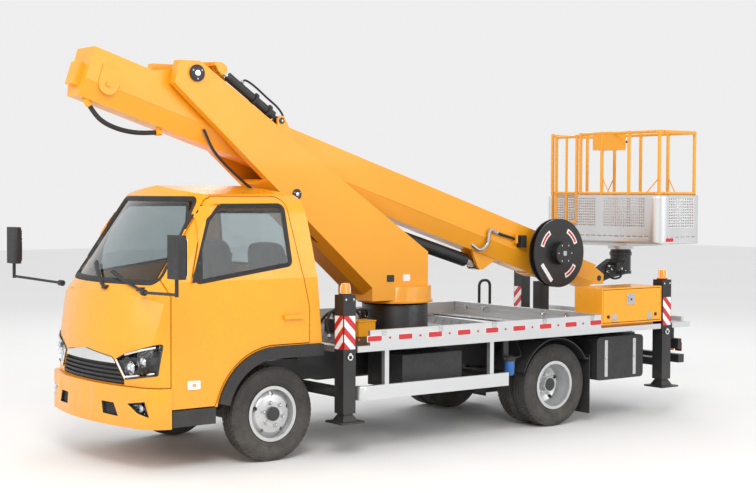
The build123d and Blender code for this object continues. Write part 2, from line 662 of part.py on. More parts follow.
# Side guards, mudguards, tanks and lamps
GUARD_X = (-2323, -700)
GUARD_Z = (440, 554)
GUARD_T = 30
GUARD_BEND = 70
bend_start = (GUARD_X[1] - GUARD_BEND, DECK_HALF)
bend_end = (GUARD_X[1], DECK_HALF - GUARD_BEND)
bend_middle = (GUARD_X[1] - 0.29 * GUARD_BEND, DECK_HALF - 0.29 * GUARD_BEND)
inner_y = DECK_HALF - GUARD_T
guard_plan = make_face(ThreePointArc(bend_start, bend_middle, bend_end)
                       + Polyline(bend_end, (bend_end[0] - GUARD_T, bend_end[1]), (bend_start[0], inner_y),
                                  (GUARD_X[0], inner_y), (GUARD_X[0], DECK_HALF), bend_start))
guard = extrude(Pos(0, 0, GUARD_Z[0]) * guard_plan, GUARD_Z[1] - GUARD_Z[0])
for station in (-1000, -2150):
    guard += block((station - 22, station + 22), (DECK_HALF - 70, DECK_HALF - 29), (440, 832))
save("side_guards", both(guard))

MUD_R = 432
MUD_T = 9
mudguard = Pos(-WHEELBASE, 0, 0) * pushed_y(arch_band(MUD_R - MUD_T, MUD_R, 20, 150), (500, 930))
mudguard += block((-3450, -3441), (520, 920), (80, TYRE_R + 250))
mudguard += block((-3450, -3375), (520, 920), (TYRE_R + 212, TYRE_R + 224))
mudguard += block((-WHEELBASE - 20, -WHEELBASE + 20), (560, 600), (TYRE_R + MUD_R - 5, 832))
save("mudguards", both(mudguard) + arch_flares)

tank = fillet(block((-4123, -3500), (560, 960), (382, 783)).edges().filter_by(Axis.Y), 40)
tank += block((-3900, -3700), (600, 700), (782, 832))
box_battery = block((-1900, -1250), (420, 900), (470, 760))
box_battery += block((-1700, -1450), (450, 600), (759, 832))
fuel = fillet(block((-2300, -1350), (-900, -430), (400, 770)).edges().filter_by(Axis.X), 60)
fuel += block((-2000, -1650), (-640, -500), (769, 832))
save("tanks", tank + box_battery + fuel)

tail = block((-4740, -4690), (720, 900), (600, 700))
tail += block((-4700, -4660), (780, 840), (690, 832))
save("signal_lamps", both(tail) + beacons)

# Pedestal and tower
pedestal = rod((SLEW_X, 0, DECK_TOP), (SLEW_X, 0, TURN_Z[0] - 14), PEDESTAL_R)
pedestal += block((SLEW_X - 420, SLEW_X + 420), (-400, 400), (DECK_TOP, DECK_TOP + 30))
pedestal += rod((SLEW_X, 0, TURN_Z[0] - 15), (SLEW_X, 0, TURN_Z[0] - 6), PEDESTAL_R - 30)
save("pedestal", pedestal)

ARM_LINE = [(504, 3160), (310, 3162), (-2050, 1589), (-2050, TURN_Z[1]), (-1420, TURN_Z[1]), (544, 2978)]
tower = both(side_plate(ARM_LINE, ARM_Y))
belly_end = (-1420, TURN_Z[1])
belly_slope = (2978 - belly_end[1]) / (544 - belly_end[0])
belly_top = (-330, belly_end[1] + belly_slope * (-330 - belly_end[0]))
belly_run = Vector(belly_end[0] - belly_top[0], 0, belly_end[1] - belly_top[1])
belly_plane = Plane(origin=(belly_top[0], 0, belly_top[1]), z_dir=belly_run, x_dir=(0, 1, 0))
belly = make_face(Polyline((-ARM_Y[1], 0), (ARM_Y[1], 0), (120, 52), (-120, 52), close=True))
tower += extrude(belly_plane * belly, belly_run.length + 60)
turntable = rod((SLEW_X, 0, TURN_Z[0]), (SLEW_X, 0, TURN_Z[1]), TURN_R)
turntable += block((-2050, -1420), (-ARM_Y[1], ARM_Y[1]), (TURN_Z[0] + 30, TURN_Z[1] + 40))
turntable += rod((SLEW_X, 0, TURN_Z[0]), (SLEW_X, 0, TURN_Z[0] + TURN_LIP), TURN_R + 14)
tower += turntable
tower += block((-2050, -2030), (-ARM_Y[1], ARM_Y[1]), (TURN_Z[1], 1500))
elbow_pin = across(ELBOW[0], ELBOW[1], (-ARM_Y[1] - 12, ARM_Y[1] + 12), ELBOW_PIN_R)
tower += both(across(ELBOW[0], ELBOW[1], (ARM_Y[1] - 1, ARM_Y[1] + 6), ELBOW_PIN_R + 26))
tower += elbow_pin
luff_pin = across(LUFF_BASE[0], LUFF_BASE[1], (-ARM_Y[0] - 5, ARM_Y[0] + 5), 40)
tower += luff_pin
for y in ((LEVEL_Y - 42, LEVEL_Y - 22), (LEVEL_Y + 22, LEVEL_Y + 42)):
    x, z = LEVEL_LUG_TOWER
    tower += side_plate([(x - 150, z - 185), (x + 40, z - 58), (x + 42, z + 14), (x + 14, z + 42),
                         (x - 26, z + 38)], y)
tower += across(LEVEL_LUG_TOWER[0], LEVEL_LUG_TOWER[1], (LEVEL_Y - 42, LEVEL_Y + 42), 22)
save("tower", tower)

# Boom: sections nested along a sloping axis


def on_boom(s, v):
    """The X-Z point at s along the boom's axis from the elbow, and v above the axis."""
    slope = math.radians(BOOM_SLOPE)
    x = ELBOW[0] - s * math.cos(slope) - (v - BOOM_AXIS_DROP) * math.sin(slope)
    z = ELBOW[1] - s * math.sin(slope) + (v - BOOM_AXIS_DROP) * math.cos(slope)
    return x, z


def section_outline(inset):
    """A tall six-sided box with its lower corners drawn in."""
    half = BOOM_W / 2 - inset
    tall = BOOM_H / 2 - inset
    return [(-half, tall), (-half, -60 + inset * 0.2), (-92 + inset * 0.6, -tall), (92 - inset * 0.6, -tall),
            (half, -60 + inset * 0.2), (half, tall)]


def boom_bar(inset, start, end):
    """A bar of the boom's section between two places along its axis."""
    x, z = on_boom(start, 0)
    slope = math.radians(BOOM_SLOPE)
    run = (-math.cos(slope), 0, -math.sin(slope))
    plane = Plane(origin=(x, 0, z), x_dir=(0, -1, 0), z_dir=run)
    return extrude(plane * make_face(Polyline(*section_outline(inset), close=True)), end - start)


def boom_block(s, v, y):
    """A block set along the boom's slope."""
    corners = [on_boom(s[0], v[0]), on_boom(s[1], v[0]), on_boom(s[1], v[1]), on_boom(s[0], v[1])]
    return side_plate(corners, y)


boom = boom_bar(0, -BOOM_FRONT, SECTION_ENDS[0]) - boom_bar(BOOM_WALL, -BOOM_FRONT + 40, SECTION_ENDS[0] + 10)
collar_end = SECTION_ENDS[0]
collar_bore = boom_bar(BOOM_WALL, collar_end - 140, collar_end + 5)
boom += boom_bar(-COLLAR_T, collar_end - 130, collar_end) - collar_bore
boom += boom_block((-BOOM_FRONT - 60, -BOOM_FRONT + 1), (-120, 60), (-60, 60))
hinge = side_plate([on_boom(-330, 190), (ELBOW[0] + 70, ELBOW[1] + 50), (ELBOW[0] - 40, ELBOW[1] + 100),
                    (120, 3170), (40, 3090), on_boom(460, 190)], (112, 150))
boom += both(hinge)
for y in ((LEVEL_Y - 42, LEVEL_Y - 22), (LEVEL_Y + 22, LEVEL_Y + 42)):
    x, z = LEVEL_LUG_BOOM
    boom += side_plate([(x + 76, z + 62), (x + 10, z + 62), (x - 36, z + 34), (x - 40, z - 22),
                        (x + 10, z - 40), (x + 44, z - 8)], y)
boom += side_plate([(x + 76, z + 62), (x + 30, z + 62), (x + 48, z + 34), (x + 76, z + 34)],
                   (112, LEVEL_Y + 42))
boom += across(x, z, (LEVEL_Y - 42, LEVEL_Y - 22.5), 22) + across(x, z, (LEVEL_Y + 22.5, LEVEL_Y + 42), 22)
boom -= across(ELBOW[0], ELBOW[1], (-180, 180), ELBOW_PIN_R + RUNNING_GAP)
x, z = LUFF_EYE
for y in ((52, 82), (-82, -52)):
    boom += side_plate([(x + 120, z + 143), (x + 50, z - 10), (x + 20, z - 48), (x - 25, z - 48),
                        (x - 190, z + 46)], y)
    boom += across(x, z, y, 48)

# Front pads with their bolts, the folded seam along each side, and the hose's two fittings below
PAD_S = (-738, -565)
PAD_V = (-40, 92)
PAD_Y = (BOOM_W / 2 - 1, BOOM_W / 2 + 10)
pad = boom_block(PAD_S, PAD_V, PAD_Y)
pad_x, pad_z = on_boom(sum(PAD_S) / 2, PAD_V[0])
pad += across(pad_x, pad_z, PAD_Y, (PAD_S[1] - PAD_S[0]) / 2 - 2)
pad += across(pad_x, pad_z, (PAD_Y[0], PAD_Y[1] + 14), 24)
boom += both(pad)
SEAM_V = (-56, -22)
boom += both(boom_block((PAD_S[1] + 10, SECTION_ENDS[0] - 140), SEAM_V, (BOOM_W / 2 - 1, BOOM_W / 2 + 5)))
BELLY_V = -BOOM_H / 2
GLAND_S = -727
BRACKET_S = -100
HOSE_Y = 55
HOSE_R = 19
FITTING_R = 27
HOSE_ROUTE = [(1180, HOSE_Y, 2780), (1128, HOSE_Y, 2704), (1050, HOSE_Y, 2648), (945, HOSE_Y, 2608),
              (830, HOSE_Y, 2586), (715, HOSE_Y, 2580), (608, HOSE_Y, 2588)]

under_boom = boom_block((GLAND_S - 80, GLAND_S + 80), (BELLY_V - 100, BELLY_V + 5),
                        (HOSE_Y - 40, HOSE_Y + 40))
boom += rod(HOSE_ROUTE[0], beyond(HOSE_ROUTE[0], HOSE_ROUTE[1], 70), FITTING_R) & under_boom
boom += rod(HOSE_ROUTE[-1], beyond(HOSE_ROUTE[-1], HOSE_ROUTE[-2], 50), FITTING_R)
boom += boom_block((BRACKET_S - 2, BRACKET_S + 36), (BELLY_V - 34, BELLY_V + 4), (HOSE_Y - 12, HOSE_Y + 12))
save("boom_base", boom)

for number, (start_gap, end) in enumerate(zip((60, 85, 110), SECTION_ENDS[1:]), start=2):
    inset = SECTION_STEP * (number - 1)
    start = -BOOM_FRONT + start_gap
    bar = boom_bar(inset, start, end) - boom_bar(inset + BOOM_WALL, start - 5, end + 5)
    if number < 4:
        bar += boom_bar(inset - COLLAR_T, end - 70, end) - boom_bar(inset + 1, end - 75, end + 5)
    if number == 4:
        bar += boom_bar(inset + 1, end - 60, end)
        x, z = TIP_PIN
        tip = side_plate([on_boom(end - 8, -80), (x - 62, z - 60), (x - 66, z + 40), (x - 20, z + 66),
                          on_boom(end - 8, 110)], (44, 74))
        bar += both(tip)
        bar -= across(TIP_PIN[0], TIP_PIN[1], (-100, 100), 30 + RUNNING_GAP)
    save(f"boom_section_{number}", bar)


def strut(base, eye, start, end, radius, y):
    """A round bar on the line between two pins, between two distances from the first."""
    run = Vector(eye[0] - base[0], 0, eye[1] - base[1]).normalized()
    origin = Vector(base[0], y, base[1])
    return rod(tuple(origin + run * start), tuple(origin + run * end), radius)


def pin_eye(point, y, half, outer, bore):
    eye = across(point[0], point[1], (y - half, y + half), outer)
    return eye - across(point[0], point[1], (y - half - 5, y + half + 5), bore)


def span(base, eye):
    return math.dist(base, eye)


luff_length = span(LUFF_BASE, LUFF_EYE)
barrel = strut(LUFF_BASE, LUFF_EYE, 62, luff_length - 150, LUFF_BARREL_R, 0)
barrel -= strut(LUFF_BASE, LUFF_EYE, 120, luff_length - 140, LUFF_ROD_R + 1, 0)
barrel += pin_eye(LUFF_BASE, 0, 60, 74, 40 + RUNNING_GAP)
save("luff_barrel", barrel)
luff_rod = strut(LUFF_BASE, LUFF_EYE, 130, luff_length - 40, LUFF_ROD_R, 0)
luff_rod += across(LUFF_EYE[0], LUFF_EYE[1], (-44, 44), 54)
save("luff_rod", luff_rod)

level_length = span(LEVEL_LUG_TOWER, LEVEL_LUG_BOOM)
barrel = strut(LEVEL_LUG_TOWER, LEVEL_LUG_BOOM, 75, level_length - 82, 38, LEVEL_Y)
barrel += strut(LEVEL_LUG_TOWER, LEVEL_LUG_BOOM, 30, 80, 17, LEVEL_Y)
barrel -= strut(LEVEL_LUG_TOWER, LEVEL_LUG_BOOM, 95, level_length - 70, 17, LEVEL_Y)
barrel += pin_eye(LEVEL_LUG_TOWER, LEVEL_Y, 19, 40, 22 + RUNNING_GAP)
save("level_barrel", barrel)
level_rod = strut(LEVEL_LUG_TOWER, LEVEL_LUG_BOOM, 100, level_length - 22, 16, LEVEL_Y)
level_rod += across(LEVEL_LUG_BOOM[0], LEVEL_LUG_BOOM[1], (LEVEL_Y - 17, LEVEL_Y + 17), 32)
save("level_rod", level_rod)

# The wrapped hose that hangs below the boom's front end, as straight runs joined by tangent arcs

def bend_radii(points):
    """The largest arc at each corner of a route that leaves a tenth of its shorter run straight."""
    radii = []
    for before, here, after in zip(points, points[1:], points[2:]):
        run_in = Vector(*here) - Vector(*before)
        run_out = Vector(*after) - Vector(*here)
        half_turn = math.radians(run_in.get_angle(run_out)) / 2
        radii.append(0.45 * min(run_in.length, run_out.length) / math.tan(half_turn))
    return radii


hose_bends = bend_radii(HOSE_ROUTE)
hose_path = FilletPolyline(*HOSE_ROUTE, radius=hose_bends)
hose = sweep(Plane(origin=hose_path @ 0, z_dir=hose_path % 0) * Circle(HOSE_R), path=hose_path)
print("hose bend radii", [round(radius) for radius in hose_bends], "length", round(hose_path.length))
print("hose volume ratio", round(hose.volume / (math.pi * HOSE_R ** 2 * hose_path.length), 4))
save("boom_hose", hose)

# Cable reel on the boom's left side
reel = across(REEL_X, REEL_Z, (REEL_Y, REEL_Y + 14), REEL_R)
reel += across(REEL_X, REEL_Z, (REEL_Y + 60, REEL_Y + 74), REEL_R)
reel += across(REEL_X, REEL_Z, (REEL_Y + 10, REEL_Y + 64), REEL_R - 60)
reel += across(REEL_X, REEL_Z, (REEL_Y + 70, REEL_Y + 150), 110)
reel += across(REEL_X, REEL_Z, (159, REEL_Y + 1), 70)
save("cable_reel", reel)

# Basket mount: a levelling bracket on the boom's tip, and the swinging column
x, z = TIP_PIN
mount = side_plate([(x + 50, z - 40), (x + 50, z + 40), (-4560, 1400), (-4660, 1450), (-4940, 1450),
                    (-4940, 1300), (-4620, 1250), (x - 20, z - 60)], (-36, 36))
mount += across(TIP_PIN[0], TIP_PIN[1], (-74, 74), 30)
mount += rod((SWING_X, 0, 1300), (SWING_X, 0, 1545), 105)
mount -= rod((SWING_X, 0, 1475), (SWING_X, 0, 1550), 40 + RUNNING_GAP)
save("basket_mount", mount)

FLOOR_T = 12
PANEL_T = 6


def basket_outline(inset):
    """The basket's plan: a long rectangle with round corners."""
    centre = (BASKET_X[0] + BASKET_X[1]) / 2
    wide = BASKET_X[1] - BASKET_X[0] - 2 * inset
    plan = RectangleRounded(wide, 2 * (BASKET_HALF - inset), BASKET_CORNER - inset)
    return Pos(centre, 0, 0) * plan


def basket_ring(outer, inner, z):
    ring = basket_outline(outer) - basket_outline(inner)
    return extrude(Pos(0, 0, z[0]) * ring, z[1] - z[0])


floor = extrude(Pos(0, 0, BASKET_Z[0]) * basket_outline(PANEL_T + 1), FLOOR_T)
floor += rod((SWING_X, 0, 1553), (SWING_X, 0, 1592), 130)
floor += block((BASKET_X[0] + 60, BASKET_X[1] - 60), (-330, 330), (1590, BASKET_Z[0] + 1))
floor += rod((SWING_X, 0, 1480), (SWING_X, 0, 1555), 40)
save("basket_floor", floor)

GATE_Y = (-680, -330)
GATE_GAP = 8
panel = basket_ring(0, PANEL_T, BASKET_Z)
gate_hole = block((BASKET_X[1] - 60, BASKET_X[1] + 60), GATE_Y, (BASKET_Z[0] + 150, BASKET_Z[1] + 10))
panel -= gate_hole
save("basket_panel", panel)

# Basket rails: posts round the panel's top, a top rail open at the gate, and the control box
RAIL_IN = 31
front_x = BASKET_X[1] - RAIL_IN
back_x = BASKET_X[0] + RAIL_IN
side_y = BASKET_HALF - RAIL_IN
RAIL_CUT = 60
BAR_R = TUBE_R - 2
ring = [(front_x, GATE_Y[1] + 30), (front_x, side_y - RAIL_CUT), (front_x - RAIL_CUT, side_y),
        (back_x + RAIL_CUT, side_y), (back_x, side_y - RAIL_CUT), (back_x, -side_y + RAIL_CUT),
        (back_x + RAIL_CUT, -side_y), (front_x - RAIL_CUT, -side_y), (front_x, -side_y + RAIL_CUT)]
cut_mid = RAIL_CUT / 2
corners = [(front_x - cut_mid, side_y - cut_mid), (back_x + cut_mid, side_y - cut_mid),
           (back_x + cut_mid, -side_y + cut_mid)]
between = [(front_x, 0), (front_x, 370), (back_x, 370), (back_x, 0), (back_x, -370)]
rails = None
for x, y in [ring[0], *ring[-2:]] + corners + between:
    post = rod((x, y, BASKET_Z[0] + FLOOR_T), (x, y, BASKET_RAIL_Z), TUBE_R)
    rails = post if rails is None else rails + post
for level in (BASKET_RAIL_Z - TUBE_R, BASKET_Z[1] + TUBE_R):
    for start, end in zip(ring, ring[1:]):
        rails += rod((*start, level), (*end, level), BAR_R)
control_box = block((BASKET_X[1] - 210, BASKET_X[1] - 20), (-120, 160), (2560, BASKET_RAIL_Z - 2))
rails += control_box
save("basket_rails", rails)

gate_y = (GATE_Y[0] + TUBE_R + GATE_GAP, GATE_Y[1] - TUBE_R - GATE_GAP)
gate_z = (BASKET_Z[0] + 160 + TUBE_R, BASKET_RAIL_Z - TUBE_R)
gate = rod((front_x, gate_y[0], gate_z[0]), (front_x, gate_y[0], gate_z[1]), TUBE_R)
gate += rod((front_x, gate_y[1], gate_z[0]), (front_x, gate_y[1], gate_z[1]), TUBE_R)
bar_levels = (gate_z[0] + 20, BASKET_Z[1] + 20, gate_z[1] - 20)
for level in bar_levels:
    gate += rod((front_x, gate_y[0], level), (front_x, gate_y[1], level), TUBE_R - 2)
middle = sum(gate_y) / 2
gate += rod((front_x, middle, bar_levels[0]), (front_x, middle, bar_levels[2]), TUBE_R - 4)
save("basket_gate", gate)
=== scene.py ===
"""Looks of the truck-mounted cherry picker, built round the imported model. Metres, +X forward, +Y left, +Z up."""
import math

import bmesh
import bpy
from mathutils import Matrix, Vector
from mathutils.bvhtree import BVHTree


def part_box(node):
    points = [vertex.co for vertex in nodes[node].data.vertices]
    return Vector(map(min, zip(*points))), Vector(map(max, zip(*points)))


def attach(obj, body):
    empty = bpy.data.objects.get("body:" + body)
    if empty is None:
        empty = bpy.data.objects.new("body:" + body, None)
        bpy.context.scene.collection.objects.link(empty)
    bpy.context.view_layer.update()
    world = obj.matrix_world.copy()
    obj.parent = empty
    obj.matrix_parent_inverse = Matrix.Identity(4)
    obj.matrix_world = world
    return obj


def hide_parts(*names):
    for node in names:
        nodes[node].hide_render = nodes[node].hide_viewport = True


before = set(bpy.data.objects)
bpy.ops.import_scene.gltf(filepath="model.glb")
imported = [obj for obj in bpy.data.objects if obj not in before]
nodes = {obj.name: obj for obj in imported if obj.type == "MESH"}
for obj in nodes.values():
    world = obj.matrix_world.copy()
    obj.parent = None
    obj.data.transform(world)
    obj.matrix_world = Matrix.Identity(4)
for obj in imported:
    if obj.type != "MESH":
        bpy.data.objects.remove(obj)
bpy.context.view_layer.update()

# The front axle lies this far ahead of the model's origin, and places below are stations from that axle
AXLE_X = sum(p.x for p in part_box("tyre_front_left")) / 2
TYRE_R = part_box("tyre_front_left")[1].z / 2

SIDES = (("left", 1), ("right", -1))
X, Y, Z = Vector((1, 0, 0)), Vector((0, 1, 0)), Vector((0, 0, 1))


def at(x, y, z):
    """A point given as a station from the front axle."""
    return Vector((x + AXLE_X, y, z))


def closed(points):
    """Each point with the next one, round to the first again."""
    return zip(points, points[1:] + points[:1])


def placed(name, data):
    """A new object in the scene."""
    obj = bpy.data.objects.new(name, data)
    bpy.context.scene.collection.objects.link(obj)
    return obj


def settle(node, **values):
    """Sets inputs of a shader node, with _ for the space in an input's name."""
    for name, value in values.items():
        node.inputs[name.replace("_", " ")].default_value = value


# Camera

CAMERA_PLACE = at(6.1829, 10.2844, 2.1012)
CAMERA_YAW, CAMERA_PITCH, CAMERA_ROLL = (math.radians(a) for a in (37.385, -2.071, 0.219))
CAMERA_LENS = 68.55


def make_camera():
    data = bpy.data.cameras.new("camera")
    data.lens = CAMERA_LENS
    data.sensor_width = 36
    data.sensor_fit = "HORIZONTAL"
    data.clip_end = 200
    camera = placed("camera", data)
    flat = Vector((-math.sin(CAMERA_YAW), -math.cos(CAMERA_YAW), 0))
    ahead = flat * math.cos(CAMERA_PITCH) + Vector((0, 0, math.sin(CAMERA_PITCH)))
    right = Vector((-math.cos(CAMERA_YAW), math.sin(CAMERA_YAW), 0))
    up = right.cross(ahead)
    turn = Matrix((right, up, -ahead)).transposed() @ Matrix.Rotation(CAMERA_ROLL, 3, "Z")
    camera.matrix_world = Matrix.Translation(CAMERA_PLACE) @ turn.to_4x4()
    bpy.context.scene.camera = camera


make_camera()


# Light and floor

def area_light(name, place, target, size, power, tint=(1, 1, 1)):
    data = bpy.data.lights.new(name, "AREA")
    data.shape = "RECTANGLE"
    data.size, data.size_y = size
    data.energy = power
    data.color = tint
    lamp = placed(name, data)
    lamp.location = place
    lamp.rotation_euler = (Vector(target) - Vector(place)).to_track_quat("-Z", "Y").to_euler()


def make_stage():
    world = bpy.data.worlds.new("studio")
    bpy.context.scene.world = world
    world.use_nodes = True
    settle(world.node_tree.nodes["Background"], Color=(1.0, 1.0, 1.0, 1), Strength=0.86)
    area_light("key", (6.5, 7.5, 8.0), (0.5, 0, 1.2), (4, 4), 560, (1.0, 0.97, 0.92))
    area_light("front_fill", (10.0, -1.0, 4.0), (2.0, 0, 1.2), (5, 4), 140)
    area_light("side_fill", (-4.0, 10.0, 4.5), (-1.5, 0, 1.2), (7, 4), 200)
    area_light("back_rim", (-6.0, -8.0, 7.0), (0, 0, 1.5), (6, 4), 200)
    bpy.ops.mesh.primitive_plane_add(size=80, location=(0, 0, -0.001))
    floor = bpy.context.object
    floor.name = "floor"
    floor.data.materials.append(material("floor_pale", (0.86, 0.86, 0.86), rough=0.8, specks=0.008, scale=0.3))


# Materials

def ramp_mix(tree, fac, low, high):
    """A colour that runs from low to high as fac goes from 0 to 1."""
    mix = tree.nodes.new("ShaderNodeMix")
    mix.data_type = "RGBA"
    tree.links.new(fac, mix.inputs["Factor"])
    settle(mix, A=(*low, 1), B=(*high, 1))
    return mix.outputs["Result"]


def scaled(tree, value, low, high):
    node = tree.nodes.new("ShaderNodeMapRange")
    tree.links.new(value, node.inputs["Value"])
    settle(node, From_Min=0.3, From_Max=0.7, To_Min=low, To_Max=high)
    return node.outputs["Result"]


def noise(tree, coords, scale, detail=4.0, stretch=None):
    node = tree.nodes.new("ShaderNodeTexNoise")
    settle(node, Scale=scale, Detail=detail)
    if stretch:
        mapping = tree.nodes.new("ShaderNodeMapping")
        settle(mapping, Scale=stretch)
        tree.links.new(coords, mapping.inputs["Vector"])
        coords = mapping.outputs["Vector"]
    tree.links.new(coords, node.inputs["Vector"])
    return node.outputs["Fac"]


def material(name, colour, rough=0.5, metal=0.0, specks=0.08, scale=6.0, grain=0.0, grain_scale=300.0, coat=0.0,
             stretch=None, dust=0.0, sheen=0.0, glow=None):
    """A painted, moulded or metal finish: colour drifts with a broad noise, roughness with a finer one.

    grain is the depth of a fine bump, and dust is how far the colour greys towards the ground.
    """
    made = bpy.data.materials.new(name)
    made.use_nodes = True
    tree = made.node_tree
    shader = tree.nodes["Principled BSDF"]
    coords = tree.nodes.new("ShaderNodeTexCoord").outputs["Object"]
    broad = noise(tree, coords, scale, stretch=stretch)
    low = tuple(c * (1 - specks) for c in colour)
    high = tuple(min(1, c * (1 + specks)) for c in colour)
    tint = ramp_mix(tree, scaled(tree, broad, 0, 1), low, high)
    if dust:
        height = tree.nodes.new("ShaderNodeSeparateXYZ")
        tree.links.new(coords, height.inputs["Vector"])
        fade = tree.nodes.new("ShaderNodeMapRange")
        tree.links.new(height.outputs["Z"], fade.inputs["Value"])
        settle(fade, From_Min=0.9, From_Max=0.1, To_Max=dust)
        grime = tree.nodes.new("ShaderNodeMath")
        grime.operation = "MULTIPLY"
        tree.links.new(fade.outputs["Result"], grime.inputs[0])
        tree.links.new(scaled(tree, noise(tree, coords, 9, 8), 0.3, 1), grime.inputs[1])
        over = tree.nodes.new("ShaderNodeMix")
        over.data_type = "RGBA"
        tree.links.new(grime.outputs["Value"], over.inputs["Factor"])
        tree.links.new(tint, over.inputs["A"])
        over.inputs["B"].default_value = (0.34, 0.31, 0.27, 1)
        tint = over.outputs["Result"]
    tree.links.new(tint, shader.inputs["Base Color"])
    fine = noise(tree, coords, scale * 7, 6, stretch)
    tree.links.new(scaled(tree, fine, max(0.02, rough * 0.8), min(1, rough * 1.2)), shader.inputs["Roughness"])
    settle(shader, Metallic=metal, Coat_Weight=coat, Coat_Roughness=0.06, Sheen_Weight=sheen)
    if grain:
        bump = tree.nodes.new("ShaderNodeBump")
        settle(bump, Strength=grain, Distance=0.002)
        tree.links.new(noise(tree, coords, grain_scale, 3, stretch), bump.inputs["Height"])
        tree.links.new(bump.outputs["Normal"], shader.inputs["Normal"])
    if glow:
        settle(shader, Emission_Color=(*colour, 1), Emission_Strength=glow)
    return made


def clear(name, colour, rough):
    """A see-through finish with faint smears in its gloss."""
    made = material(name, colour, rough=rough, specks=0.04, scale=4.0)
    settle(made.node_tree.nodes["Principled BSDF"], Transmission_Weight=1.0, IOR=1.45)
    return made


YELLOW = (0.88, 0.365, 0.010)
PAINT = material("yellow_paint", YELLOW, rough=0.30, specks=0.03, scale=1.4, coat=0.25, grain=0.02, grain_scale=220,
                 dust=0.10)
BOOM_PAINT = material("boom_paint", (0.86, 0.352, 0.010), rough=0.36, specks=0.04, scale=1.1, coat=0.25, grain=0.03,
                      grain_scale=180)
BLACK_PAINT = material("black_paint", (0.014, 0.014, 0.015), rough=0.42, specks=0.3, scale=4, coat=0.15, grain=0.05,
                       grain_scale=160, dust=0.08)
BLACK_PLASTIC = material("black_plastic", (0.020, 0.020, 0.022), rough=0.55, specks=0.2, scale=5, grain=0.25,
                         grain_scale=900, dust=0.10)
RUBBER = material("rubber", (0.016, 0.016, 0.016), rough=0.62, specks=0.25, scale=8, grain=0.08, grain_scale=500)
TYRE = material("tyre_rubber", (0.022, 0.021, 0.020), rough=0.78, specks=0.25, scale=7, grain=0.15, grain_scale=350,
                dust=0.22)
SILVER = material("wheel_silver", (0.60, 0.61, 0.62), rough=0.34, metal=0.65, specks=0.06, scale=9, grain=0.04,
                  grain_scale=260, dust=0.10)
STEEL = material("bright_steel", (0.62, 0.63, 0.64), rough=0.22, metal=1.0, specks=0.06, scale=20, grain=0.03,
                 grain_scale=600)
CAST = material("cast_iron", (0.045, 0.043, 0.042), rough=0.68, metal=0.3, specks=0.3, scale=9, grain=0.3,
                grain_scale=180, dust=0.3)
ALUMINIUM = material("aluminium", (0.66, 0.67, 0.68), rough=0.38, metal=0.85, specks=0.06, scale=3, grain=0.06,
                     grain_scale=240, stretch=(0.06, 1, 1))
SHEET = material("basket_sheet", (0.70, 0.71, 0.72), rough=0.33, metal=0.85, specks=0.05, scale=3, grain=0.05,
                 grain_scale=260, stretch=(1, 1, 0.05))
CHROME = material("bright_trim", (0.80, 0.81, 0.82), rough=0.12, metal=1.0, specks=0.03, scale=10)
GLASS = clear("window_glass", (0.52, 0.58, 0.59), rough=0.01)
LENS = clear("lamp_lens", (0.93, 0.95, 0.96), rough=0.02)
AMBER = material("amber_lens", (0.95, 0.26, 0.02), rough=0.15, specks=0.12, scale=60, coat=0.6, glow=0.35)
RED = material("red_reflector", (0.55, 0.012, 0.018), rough=0.22, specks=0.12, scale=80, coat=0.5)
WHITE = material("white_film", (0.82, 0.82, 0.82), rough=0.3, specks=0.03, scale=40, coat=0.4)
CLOTH = material("seat_cloth", (0.05, 0.05, 0.055), rough=0.9, specks=0.35, scale=40, grain=0.5, grain_scale=900,
                 sheen=0.3)
TRIM_GREY = material("cabin_trim", (0.10, 0.10, 0.105), rough=0.7, specks=0.12, scale=12, grain=0.25, grain_scale=700)
DECK_BLACK = material("deck_black", (0.020, 0.021, 0.022), rough=0.55, specks=0.3, scale=5, grain=0.12, grain_scale=90)
PROJECTOR = material("projector_glass", (0.55, 0.60, 0.64), rough=0.05, metal=0.4, specks=0.05, scale=30, coat=1.0)
PIPE = material("pipe", (0.22, 0.20, 0.18), rough=0.38, metal=0.6, specks=0.12, scale=12)
BLUE = material("blue_bowl", (0.02, 0.12, 0.38), rough=0.3, specks=0.1, scale=20, coat=0.3)

make_stage()
bpy.context.scene.view_settings.view_transform = "Standard"

BY_MATERIAL = (
    (PAINT, "cab_shell door_left door_right bumper toolboxes toolbox_lid_left basket_rails basket_gate"),
    (BOOM_PAINT, "tower boom_base boom_section_2 boom_section_3 boom_section_4"),
    (BLACK_PAINT, "chassis_frame deck_fittings outrigger_posts jack_front_left jack_front_right jack_rear_left "
                  "jack_rear_right pedestal luff_barrel level_barrel cable_reel basket_mount"),
    (BLACK_PLASTIC, "wipers mirrors mudguards tanks grille"),
    (TRIM_GREY, "dashboard"),
    (RUBBER, "boom_hose"),
    (CLOTH, "seats"),
    (TYRE, "tyre_front_left tyre_front_right tyres_rear_left tyres_rear_right"),
    (SILVER, "rim_front_left rim_front_right rims_rear_left rims_rear_right"),
    (STEEL, "luff_rod level_rod"),
    (CAST, "knuckle_left knuckle_right tie_rod front_axle rear_axle leaf_springs engine"),
    (ALUMINIUM, "deck side_guards basket_floor"),
    (SHEET, "basket_panel"),
    (GLASS, "cab_glass door_glass_left door_glass_right"),
    (LENS, "front_lamps"),
    (AMBER, "signal_lamps"),
)


def soften(obj, width):
    """Rounds the edges of a CAD node a little: weld, merge flat faces, bevel, then even out the normals."""
    weld = obj.modifiers.new("weld", "WELD")
    weld.merge_threshold = 0.00002
    flat = obj.modifiers.new("flat", "DECIMATE")
    flat.decimate_type = "DISSOLVE"
    flat.angle_limit = math.radians(1)
    bevel = obj.modifiers.new("bevel", "BEVEL")
    bevel.width = width
    bevel.segments = 2
    bevel.limit_method = "ANGLE"
    bevel.angle_limit = math.radians(38)
    bevel.harden_normals = True
    bevel.use_clamp_overlap = True


